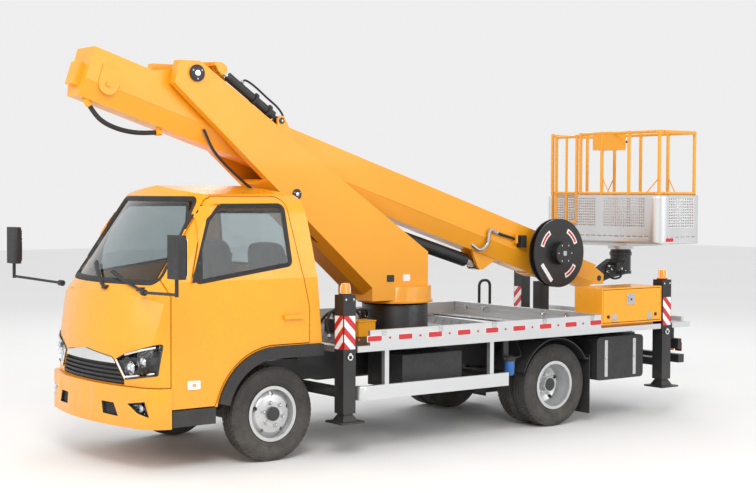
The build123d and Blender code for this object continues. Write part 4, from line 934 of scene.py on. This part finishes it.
def make_deck():
    """Mat and strip of the deck, reflectors and hinges of its boards, and the fittings of the toolbox lid."""
    bm = bmesh.new()
    mat = [(-0.66, -0.985), (-0.66, 0.985), (-2.86, 0.985), (-3.06, -0.985)]
    plate(bm, [(at(x, 0, 0).x, y) for x, y in mat], Vector((0, 0, 0.8805)), X, Y, 0.004)
    for i in range(40):
        for j in range(33):
            x, y = -0.70 - i * 0.054, -0.95 + j * 0.0594
            lean = 1 if (i + j) % 2 else -1
            way = Vector((0.016, 0.016 * lean, 0))
            wide = Vector((-0.004 * lean, 0.004, 0))
            heart = at(x, y, 0.8845)
            if math.hypot(x + 1.870, y) < 0.36:
                continue
            corners = [bm.verts.new(heart + p) for p in (-way, wide, way, -wide)]
            peak = bm.verts.new(heart + Z * 0.0028)
            for a, b in closed(corners):
                bm.faces.new((a, b, peak))
    piece("deck_mat", bm, DECK_BLACK, "chassis")
    bm = bmesh.new()
    block(bm, at(-3.20, -0.98, 0.8806), at(-3.13, 0.98, 0.890))
    for i in range(9):
        stud(bm, at(-3.165, -0.9 + i * 0.225, 0.890), Z, (-0.001, 0.004, 0.006), 0.012, 0.007, 12, 1)
    piece("deck_strip", bm, (BLACK_PAINT, STEEL), "chassis", bevel=0.002)
    deck = tree_of("deck")
    for side, sign in SIDES:
        bm = bmesh.new()
        for i in range(9):
            heart = side_spot(deck, -0.850 - i * REFLECTOR_PITCH, 0.935, sign)
            plate(bm, oblong(0.076, 0.026, 0.008, 3), heart - Y * sign * 0.001, X * -sign, Z, 0.003, 1)
            plate(bm, oblong(0.070, 0.021, 0.006, 3), heart + Y * sign * 0.002, X * -sign, Z, 0.003, 0)
            for k in range(1, 6):
                across = heart + X * (-0.070 + k * 0.0233) + Y * sign * 0.005
                rod(bm, across - Z * 0.020, across + Z * 0.020, 0.0012, 5, 0)
            stud(bm, heart + X * REFLECTOR_PITCH / 2, Y * sign, (-0.001, 0.003, 0.005), 0.010, 0.006, 14)
        piece(f"board_reflectors_{side}", bm, (RED, WHITE), "chassis")
        bm = bmesh.new()
        for i in range(5):
            spot = side_spot(deck, -0.95 - i * 0.60, 0.985, sign)
            block(bm, spot + Vector((-0.022, -0.004, -0.030)), spot + Vector((0.022, 0.004, 0.014)))
            turned(bm, spot + Vector((0, sign * 0.004, 0.012)), X,
                   ((-0.026, 0.005), (-0.024, 0.007), (0.024, 0.007), (0.026, 0.005)), 12, 0)
        piece(f"board_hinges_{side}", bm, STEEL, "chassis", bevel=0.0015)
    bm = bmesh.new()
    lid = tree_of("toolbox_lid_left")
    for x in (-4.12, -3.64):
        spot = side_spot(lid, x, 0.960)
        block(bm, spot + Vector((-0.030, -0.003, -0.008)), spot + Vector((0.030, 0.003, 0.040)))
        rod(bm, spot + Vector((-0.034, 0.004, -0.024)), spot + Vector((0.034, 0.004, -0.024)), 0.007)
        for dx in (-0.018, 0.018):
            stud(bm, spot + Vector((dx, 0, 0.020)), Y, (0, 0.005, 0.007), 0.005, 0.003, 10)
    spot = side_spot(lid, -3.853, 1.135)
    plate(bm, oblong(0.054, 0.052, 0.012, 4), spot - Y * 0.001, -X, Z, 0.003)
    paddle = rounded([(-0.036, -0.026), (0.036, -0.026), (0.036, 0.036), (-0.036, 0.036)], 0.010, 4)
    plate(bm, paddle, spot + Y * 0.002, -X, Z, 0.006)
    stud(bm, spot + Vector((0, 0.008, -0.004)), Y, (-0.002, 0.002, 0.003), 0.011, 0.008, 16, 1)
    for x in (-4.20, -3.56):
        foot = side_spot(lid, x, 0.978)
        turned(bm, foot, Y, ((-0.001, 0.016), (0.008, 0.015), (0.013, 0.009)), 16, 1)
    piece("lid_fittings", bm, (STEEL, BLACK_PLASTIC), "toolbox_lid_left", bevel=0.0012)


def make_tail_board():
    """The low board across the deck behind the load space, in three boarded strips with two latches."""
    bm = bmesh.new()
    for low, high in ((0.8808, 0.9195), (0.9225, 0.9610), (0.9640, 1.0030)):
        block(bm, at(-3.470, -1.010, low), at(-3.444, 1.010, high))
    block(bm, at(-3.474, -1.010, 0.999), at(-3.440, 1.010, 1.007))
    for y in (-0.82, -0.55, 0.30, 0.62):
        block(bm, at(-3.444, y - 0.020, 0.925), at(-3.436, y + 0.020, 0.992), 1)
        rod(bm, at(-3.436, y - 0.030, 0.975), at(-3.436, y + 0.030, 0.975), 0.007, 10, 1)
        tube(bm, (at(-3.434, y, 0.972), at(-3.424, y, 0.950), at(-3.430, y, 0.930)), 0.005, 8, 1, 4)
    piece("tail_board", bm, (ALUMINIUM, STEEL), "chassis", bevel=0.002)


def make_rear():
    """Tail lamp lenses and a blank plate on the rear bar."""
    rear = tree_of("chassis_frame", "deck", "signal_lamps")
    paint_faces("signal_lamps", BLACK_PLASTIC, lambda c, n: c.x < at(-4.55, 0, 0).x and c.z < 1.0)
    paint_faces("signal_lamps", WHITE, lambda c, n: c.x > at(0.4, 0, 0).x)
    bm = bmesh.new()
    for _, sign in SIDES:
        for y, index in ((0.76, 1), (0.86, 0)):
            spot = on_surface(rear, at(-7, sign * y, 0.62), X)
            plate(bm, oblong(0.042, 0.045, 0.012, 4), spot + X * 0.001, -Y, Z, 0.010, index)
            for r in (0.010, 0.020, 0.030):
                ridge = ((-0.002, r), (0.0012, r), (0.0012, r - 0.004), (-0.002, r - 0.004))
                turned(bm, spot - X * 0.009, -X, ridge, 20, index, wrap=True)
    piece("tail_lenses", bm, (RED, AMBER), "chassis", bevel=0.002)
    bm = bmesh.new()
    spot = on_surface(rear, at(-7, 0, 0.62), X)
    plate(bm, oblong(0.22, 0.07, 0.012, 4), spot + X * 0.001, -Y, Z, 0.005)
    for dy in (-0.17, 0.17):
        stud(bm, spot + Vector((-0.004, dy, 0.045)), -X, (0, 0.004, 0.005), 0.008, 0.004, 12)
    piece("blank_plate", bm, WHITE, "chassis", bevel=0.0012)


make_posts()
make_deck()
make_tail_board()
make_rear()


# Boom and tower

SLOPE = math.radians(17.57)
ELBOW = (0.347, 3.062)
PIN_UP = 0.287


def on_boom(s, y, v):
    """A point s along the stowed boom from its pin and v above its underside."""
    up = v - PIN_UP
    return at(ELBOW[0] - s * math.cos(SLOPE) - up * math.sin(SLOPE), y,
              ELBOW[1] - s * math.sin(SLOPE) + up * math.cos(SLOPE))


ALONG = Vector((-math.cos(SLOPE), 0, -math.sin(SLOPE)))
UP = Vector((-math.sin(SLOPE), 0, math.cos(SLOPE)))


def make_boom():
    """Pipes and strapped hoses under the boom, and the marks on the reel."""
    bm = bmesh.new()
    for y, v, r, index, start, stop in (
            (0.055, -0.024, 0.019, 0, -0.24, 1.70), (0.018, -0.014, 0.008, 1, -0.10, 3.05),
            (-0.006, -0.014, 0.008, 1, -0.10, 3.05), (-0.030, -0.016, 0.010, 0, -0.10, 3.05),
            (-0.060, -0.014, 0.007, 1, 0.10, 3.25)):
        count = 7
        run = [on_boom(start + (stop - start) * i / count, y + 0.003 * math.sin(i * 2.1), v - 0.002 * (i % 2))
               for i in range(count + 1)]
        run.append(on_boom(stop + 0.05, y, v + 0.030))
        tube(bm, run, r, 10, index, 5)
    for i in range(9):
        heart = on_boom(i * 0.36, 0.0, 0.002)
        corners = [heart + UP * v + Y * y for y, v in ((-0.075, 0), (0.082, 0), (0.082, -0.050), (-0.075, -0.032))]
        loft(bm, [[p - ALONG * 0.012 for p in corners], [p + ALONG * 0.012 for p in corners]], 2)
    rise = [at(*p) for p in ((-2.70, 0.100, 1.640), (-2.770, 0.150, 1.585), (-2.835, 0.172, 1.640),
                             (-2.858, 0.172, 1.745), (-2.890, 0.172, 1.772), (-2.945, 0.172, 1.748))]
    tube(bm, rise, 0.017, 12, 3, 8)
    for ring in smooth_path(rise, 9)[10:-3]:
        turned(bm, ring, Z, ((-0.004, 0.0165), (-0.002, 0.0195), (0.002, 0.0195), (0.004, 0.0165)), 14, 3)
    fall = ((-2.945, 0.172, 1.748), (-3.02, 0.174, 1.724), (-3.11, 0.174, 1.702), (-3.20, 0.170, 1.678),
            (-3.28, 0.165, 1.655))
    tube(bm, [at(*p) for p in fall], 0.013, 10, 0)
    block(bm, at(-3.205, 0.148, 1.640), at(-3.180, 0.196, 1.725), 4)
    block(bm, at(-3.300, 0.146, 1.600), at(-3.230, 0.215, 1.715), 0)
    stud(bm, rise[-1], Vector((-1, 0, -0.28)), (-0.006, 0.018, 0.020), 0.020, 0.016, 6, 3)
    piece("boom_pipes", bm, (RUBBER, PIPE, BLACK_PLASTIC, STEEL, BOOM_PAINT), "boom")
    bm = bmesh.new()
    reel = at(-3.618, 0.3365, 1.544)
    face = tree_of("cable_reel")

    def arc(first, last, low, high, index, out):
        points = [math.radians(first + (last - first) * i / 14) for i in range(15)]
        outline = [(math.cos(a) * high, math.sin(a) * high) for a in points]
        outline += [(math.cos(a) * low, math.sin(a) * low) for a in reversed(points)]
        for a, b in zip(range(14), range(1, 15)):
            quad = [outline[a], outline[b], outline[29 - b], outline[29 - a]]
            spot = on_surface(face, reel + Vector((-quad[0][0], 1.0, quad[0][1])), -Y)
            base = spot.y + out
            low_ring = [Vector((reel.x - p[0], base, reel.z + p[1])) for p in quad]
            loft(bm, [low_ring, [p + Y * 0.002 for p in low_ring]], index)

    for first, last in ((122, 164), (22, 64), (-70, -30)):
        arc(first, last, 0.212, 0.258, 1, 0.0)
        arc(first + 4, last - 4, 0.225, 0.245, 0, 0.0015)
    heart = on_surface(face, reel + Vector((0.165, 1.0, -0.185)), -Y)
    plate(bm, oblong(0.105, 0.020, 0.006, 3), heart, Vector((0.63, 0, 0.78)), Vector((-0.78, 0, 0.63)), -0.003, 1)
    hub = on_surface(face, reel + Y, -Y)
    plate(bm, oblong(0.022, 0.022, 0.005, 3), hub, X, -Z, 0.004, 2)
    for i in range(6):
        a = math.pi * i / 3
        spot = on_surface(face, reel + Vector((math.cos(a) * 0.085, 1, math.sin(a) * 0.085)), -Y)
        stud(bm, spot, Y, (-0.001, 0.007, 0.009), 0.009, 0.006, 6, 2)
    piece("reel_marks", bm, (RED, WHITE, STEEL), "boom")


def make_tower():
    """Pin caps, lug pins, small plates and the pipes on the tower."""
    bm = bmesh.new()
    tower = tree_of("tower")
    pins = ((ELBOW[0], ELBOW[1], 0.068), (-0.467, 2.711, 0.026), (-0.620, 2.100, 0.045))
    for x, z, r in pins:
        for _, sign in SIDES:
            spot = side_spot(tower, x, z, sign)
            turned(bm, spot, Y * sign, ((-0.004, r), (0.006, r), (0.009, r * 0.9), (0.009, r * 0.45), (0.012, r * 0.4),
                                        (0.012, 0)), 32, 0)
            stud(bm, spot + Y * sign * 0.012, Y * sign, (-0.001, 0.002, 0.003), r * 0.36, r * 0.25, 24, 1)
            for i in range(3):
                a = 2 * math.pi * i / 3 + 0.5
                place = spot + Vector((math.cos(a), 0, math.sin(a))) * r * 0.68 + Y * sign * 0.008
                stud(bm, place, Y * sign, (-0.001, 0.005, 0.006), r * 0.11, r * 0.07, 6, 1)
    for x, z, index in ((-1.62, 1.36, 0), (-1.80, 1.36, 2)):
        plate(bm, oblong(0.040, 0.030, 0.006, 3), side_spot(tower, x, z), X, -Z, 0.004, index)
    piece("tower_pins", bm, (BLACK_PAINT, STEEL, WHITE), "tower", sharp=28)
    bm = bmesh.new()
    for y, r, index in ((0.158, 0.010, 0), (0.138, 0.008, 1)):
        run = [at(x, y, z) for x, z in ((-1.55, 1.30), (-1.30, 1.42), (-0.95, 1.66), (-0.60, 1.90), (-0.20, 2.17),
                                        (0.10, 2.42), (0.22, 2.62))]
        tube(bm, run, r, 9, index, 5)
    piece("tower_hoses", bm, (RUBBER, PIPE), "tower")
    bm = bmesh.new()
    way = Vector((0.566, 0, 0.389)).normalized()
    over = Vector((-0.389, 0, 0.566)).normalized()
    base = at(-0.467, 0.214, 2.711)
    run = [base + way * s + over * h + Y * y for s, h, y in
           ((0.47, 0.050, 0.0), (0.45, 0.078, 0.004), (0.36, 0.088, 0.008), (0.22, 0.082, 0.012), (0.10, 0.080, 0.012),
            (0.03, 0.062, 0.020), (-0.01, 0.030, 0.034))]
    tube(bm, run, 0.009, 9, 0, 6)
    stud(bm, base + way * 0.47 + over * 0.040, over, (0, 0.016, 0.018), 0.016, 0.012, 6, 1)
    for s in (0.14, 0.30):
        turned(bm, base + way * s, way, ((-0.012, 0.052), (-0.010, 0.056), (0.010, 0.056), (0.012, 0.052)), 24, 2)
    piece("level_hose", bm, (RUBBER, STEEL, BLACK_PLASTIC), "level_barrel", sharp=28)


def make_turret_gear():
    """Slewing motor, valve block and looping hoses at the foot of the tower."""
    bm = bmesh.new()
    foot = at(-1.42, 0.16, 0.885)
    turned(bm, foot, Z, ((0, 0.085), (0.018, 0.085), (0.020, 0.066), (0.110, 0.066), (0.114, 0.072), (0.128, 0.072),
                         (0.132, 0.050), (0.190, 0.048), (0.196, 0.036), (0.200, 0)), 32)
    for i in range(6):
        a = math.pi * i / 3
        place = foot + Vector((math.cos(a) * 0.075, math.sin(a) * 0.075, 0.018))
        stud(bm, place, Z, (-0.001, 0.007, 0.008), 0.008, 0.005, 6, 1)
    block(bm, at(-1.36, -0.16, 0.885), at(-1.20, 0.06, 1.000))
    for i in range(4):
        turned(bm, at(-1.335 + i * 0.036, -0.05, 1.000), Z,
               ((-0.001, 0.014), (0.040, 0.014), (0.046, 0.017), (0.066, 0.017), (0.070, 0.010)), 16, i % 2)
    block(bm, at(-1.30, 0.30, 0.885), at(-1.12, 0.46, 1.010), 2)
    block(bm, at(-1.306, 0.294, 1.010), at(-1.114, 0.466, 1.022), 2)
    loops = (
        ((-1.40, 0.20, 1.02), (-1.33, 0.28, 1.10), (-1.20, 0.26, 1.08), (-1.14, 0.10, 0.98), (-1.20, 0.02, 0.95)),
        ((-1.40, 0.12, 1.02), (-1.28, 0.12, 1.12), (-1.12, 0.02, 1.06), (-1.06, -0.08, 0.93), (-1.10, -0.16, 0.885)),
        ((-1.34, -0.10, 1.00), (-1.36, -0.20, 1.09), (-1.46, -0.30, 1.04), (-1.52, -0.38, 0.93), (-1.50, -0.44, 0.885)),
        ((-1.24, 0.02, 0.99), (-1.10, 0.10, 1.08), (-0.96, 0.22, 1.00), (-0.90, 0.34, 0.885)))
    for loop in loops:
        fitted_hose(bm, loop, 0.012, 10, 3, 0.006, 0.030)
    piece("slew_drive", bm, (BLACK_PAINT, STEEL, PAINT, RUBBER), "chassis", bevel=0.002, sharp=30)


def make_side_gear():
    """Filter bowl on its bracket, and the tanks' straps and cap."""
    bm = bmesh.new()
    spot = at(-2.46, 0.90, 0.60)
    turned(bm, spot, Z, ((-0.098, 0.010), (-0.096, 0.030), (-0.084, 0.042), (0.030, 0.046), (0.036, 0.043)), 28, 0)
    turned(bm, spot, Z, ((0.034, 0.052), (0.060, 0.052), (0.066, 0.046), (0.078, 0.024), (0.080, 0)), 28, 1)
    rod(bm, spot + Vector((-0.07, 0, 0.056)), spot + Vector((0.07, 0, 0.056)), 0.010, 12, 1)
    block(bm, spot + Vector((-0.030, -0.075, 0.050)), spot + Vector((0.030, -0.048, 0.300)), 2)
    tube(bm, [spot + Vector(p) for p in ((-0.07, 0, 0.056), (-0.15, -0.02, 0.070), (-0.20, -0.12, 0.16),
                                         (-0.20, -0.20, 0.24))], 0.008, 9, 3)
    piece("filter_bowl", bm, (BLUE, CAST, BLACK_PAINT, RUBBER), "chassis", bevel=0.0015)
    bm = bmesh.new()
    tank = tree_of("tanks")
    for x0, x1, z0, z1, sign in ((-4.00, -3.62, 0.382, 0.783, 1), (-2.15, -1.50, 0.400, 0.770, -1)):
        for x in (x0, x1):
            run = [side_spot(tank, x, z, sign) for z in (z0 + 0.03, (z0 + z1) / 2, z1 - 0.03)]
            band = [Vector((dx, dy * sign, 0)) for dx, dy in
                    ((-0.020, -0.002), (0.020, -0.002), (0.020, 0.004), (-0.020, 0.004))]
            for a, b in zip(run, run[1:]):
                loft(bm, [[a + p for p in band], [b + p for p in band]])
            stud(bm, run[1] + Y * sign * 0.003, Y * sign, (0, 0.008, 0.010), 0.011, 0.007, 6)
    cap = on_surface(tank, at(-2.05, -2, 0.66), Y)
    turned(bm, cap, -Y, ((-0.002, 0.045), (0.020, 0.045), (0.026, 0.050), (0.042, 0.050), (0.048, 0.040)), 24, 1)
    piece("tank_straps", bm, (STEEL, BLACK_PLASTIC), "chassis", bevel=0.001)


make_boom()
make_tower()
make_turret_gear()
make_side_gear()


# Basket

def make_panel():
    """The basket's sheet with its punched holes, laid out along its rounded outline, in place of the plain sheet."""
    sheet = tree_of("basket_panel")
    low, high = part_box("basket_panel")
    cell, radius = 0.0265, 0.110
    hole, slot = (0.0078, 0.0078), (0.0118, 0.0052)
    x0, x1, y0, y1 = low.x, high.x, low.y, high.y
    corner = radius * math.pi / 2
    sides = ((Vector((x1, y0 + radius, 0)), Y, X, y1 - y0 - 2 * radius),
             (Vector((x1 - radius, y1, 0)), -X, Y, x1 - x0 - 2 * radius),
             (Vector((x0, y1 - radius, 0)), -Y, -X, y1 - y0 - 2 * radius),
             (Vector((x0 + radius, y0, 0)), X, -Y, x1 - x0 - 2 * radius))
    columns = []
    for start, way, out, run in sides:
        count = round(run / cell)
        for i in range(count):
            columns.append((start + way * run * i / count, out, (i + 0.5) / count, run))
        heart = start + way * run - out * radius
        bends = max(3, round(corner / cell))
        for i in range(bends):
            a = math.pi / 2 * i / bends
            columns.append((heart + (out * math.cos(a) + way * math.sin(a)) * radius,
                            (out * math.cos(a) + way * math.sin(a)), -1, run))
    rows = round((high.z - low.z) / cell)
    heights = [low.z + (high.z - low.z) * i / rows for i in range(rows + 1)]
    bm = bmesh.new()
    grid = [[bm.verts.new((p.x, p.y, z)) for z in heights] for p, _, _, _ in columns]
    for i, (place, out, share, run) in enumerate(columns):
        j = (i + 1) % len(columns)
        mid = (place + columns[j][0]) / 2
        for k in range(rows):
            z = (heights[k] + heights[k + 1]) / 2
            hit = sheet.ray_cast(Vector((mid.x, mid.y, z)) + out * 0.03, -out, 0.06)[0]
            if hit is None:
                continue
            corners = (grid[i][k], grid[j][k], grid[j][k + 1], grid[i][k + 1])
            wide = run > 1.0
            punched = (0.05 < share < 0.46 or 0.54 < share < 0.95) if wide else 0.08 < share < 0.92
            field = punched and 5 < k < rows - 1
            slot_row = share > 0 and k == 2 and i % 3
            if field or slot_row:
                heart = Vector((mid.x, mid.y, z))
                along = (columns[j][0] - place).normalized()
                big, small = hole if field else slot
                ring = [bm.verts.new(heart + along * math.cos(a) * big + Z * math.sin(a) * small)
                        for a in (math.pi * (1.25 + n / 4) for n in range(8))]
                for n, corner_at in enumerate(corners):
                    after = corners[(n + 1) % 4]
                    bm.faces.new((corner_at, ring[(2 * n + 1) % 8], ring[2 * n]))
                    bm.faces.new((corner_at, after, ring[(2 * n + 2) % 8], ring[(2 * n + 1) % 8]))
            else:
                bm.faces.new(corners)
    bmesh.ops.delete(bm, geom=[v for v in bm.verts if not v.link_faces], context="VERTS")
    panel = piece("punched_panel", bm, SHEET, "basket", turn_out=False)
    thick = panel.modifiers.new("thick", "SOLIDIFY")
    thick.thickness = 0.003
    thick.offset = -1
    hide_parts("basket_panel")


def make_basket():
    """Reflectors, the panel of levers and the rail braces of the basket, and the gear on its mount."""
    bm = bmesh.new()
    for _, sign in SIDES:
        mark = oblong(0.055, 0.018, 0.006, 3)
        plate(bm, mark, at(-4.66, sign * 0.8032, 1.665), X * -sign, Z, 0.004, 0)
        plate(bm, offset(mark, 0.006), at(-4.66, sign * 0.8030, 1.665), X * -sign, Z, 0.002, 1)
    piece("basket_reflectors", bm, (RED, WHITE), "basket")
    bm = bmesh.new()
    rear = at(-4.721, 0, 0).x
    plate(bm, oblong(0.125, 0.075, 0.012, 4), Vector((rear, 0.02, 2.652)), -Y, Z, 0.004)
    for y in (-0.06, 0.02, 0.10):
        base = Vector((rear - 0.003, y, 2.630))
        turned(bm, base, -X, ((0, 0.020), (0.004, 0.020), (0.012, 0.012), (0.020, 0.006)), 16, 2)
        tube(bm, (base, base + Vector((-0.030, 0, 0.006)), base + Vector((-0.060, 0, 0.016))), 0.0055, 8, 1, 4)
        turned(bm, base + Vector((-0.058, 0, 0.015)), Vector((-1, 0, 0.3)),
               ((0, 0.008), (0.006, 0.013), (0.016, 0.013), (0.020, 0.006)), 16, 2)
    turned(bm, Vector((rear - 0.003, -0.06, 2.695)), -X, ((0, 0.020), (0.006, 0.020), (0.007, 0.013), (0.014, 0.013),
                                                         (0.015, 0.021), (0.024, 0.020), (0.027, 0.012)), 24, 3)
    for y in (0.00, 0.04, 0.08):
        stud(bm, Vector((rear - 0.003, y, 2.695)), -X, (0, 0.006, 0.008), 0.010, 0.006, 16, 1)
    piece("basket_levers", bm, (BLACK_PLASTIC, STEEL, RUBBER, RED), "basket", sharp=30)
    bm = bmesh.new()
    swing = at(-4.830, 0, 0)
    stud(bm, swing + Z * 1.300, Z, (-0.004, 0.026, 0.030), 0.112, 0.106, 40)
    turned(bm, swing + Z * 1.480, Z, ((0, 0.106), (0.004, 0.114), (0.040, 0.114), (0.044, 0.106)), 40)
    for i in range(10):
        a = 2 * math.pi * i / 10
        turned(bm, swing + Vector((math.cos(a) * 0.106, math.sin(a) * 0.106, 1.326)), Z,
               ((-0.001, 0.008), (0.006, 0.008), (0.008, 0.005)), 6, 1)
    for sign in (-1, 1):
        cheek = [(-4.56, 1.340), (-4.62, 1.290), (-4.74, 1.310), (-4.74, 1.420), (-4.64, 1.420)]
        first = [at(x, sign * 0.037, z) for x, z in cheek]
        loft(bm, [first, [p + Y * sign * 0.012 for p in first]])
        stud(bm, at(-4.655, sign * 0.049, 1.360), Y * sign, (-0.001, 0.008, 0.011), 0.026, 0.019, 24, 1)
        block(bm, at(-4.735, sign * 0.075 - 0.030, 1.335), at(-4.665, sign * 0.075 + 0.030, 1.415))
    for points in (((-4.58, 0.045, 1.33), (-4.60, 0.10, 1.26), (-4.70, 0.12, 1.27), (-4.74, 0.10, 1.36)),
                   ((-4.58, -0.045, 1.33), (-4.58, -0.12, 1.25), (-4.70, -0.13, 1.27), (-4.74, -0.10, 1.36)),
                   ((-4.60, 0.050, 1.38), (-4.62, 0.15, 1.36), (-4.70, 0.17, 1.42), (-4.77, 0.10, 1.45))):
        fitted_hose(bm, points, 0.011, 9, 2, 0, 0.026)
    piece("mount_gear", bm, (BLACK_PAINT, STEEL, RUBBER), "basket_mount", bevel=0.0015, sharp=30)
    bm = bmesh.new()
    for a, b in (((-4.541, 0.10, 2.13), (-4.541, 0.01, 2.28)), ((-4.57, 0.735, 2.27), (-4.541, 0.61, 2.13)),
                 ((-5.119, 0.47, 2.13), (-5.119, 0.38, 2.28)), ((-5.119, -0.47, 2.13), (-5.119, -0.38, 2.28))):
        rod(bm, at(*a), at(*b), 0.006, 8)
        for end in (a, b):
            turned(bm, at(*end), Z, ((-0.010, 0.008), (-0.008, 0.011), (0.008, 0.011), (0.010, 0.008)), 12)
    piece("rail_braces", bm, PAINT, "basket")


make_panel()
make_basket()

SOFT_EDGES = (("tower boom_base boom_section_2 boom_section_3 boom_section_4", 0.005),
              ("toolboxes toolbox_lid_left deck_fittings pedestal outrigger_posts bumper", 0.004),
              ("mirrors", 0.014),
              ("chassis_frame side_guards jack_front_left jack_front_right jack_rear_left jack_rear_right", 0.003))
for names, width in SOFT_EDGES:
    for name in names.split():
        soften(nodes[name], width)
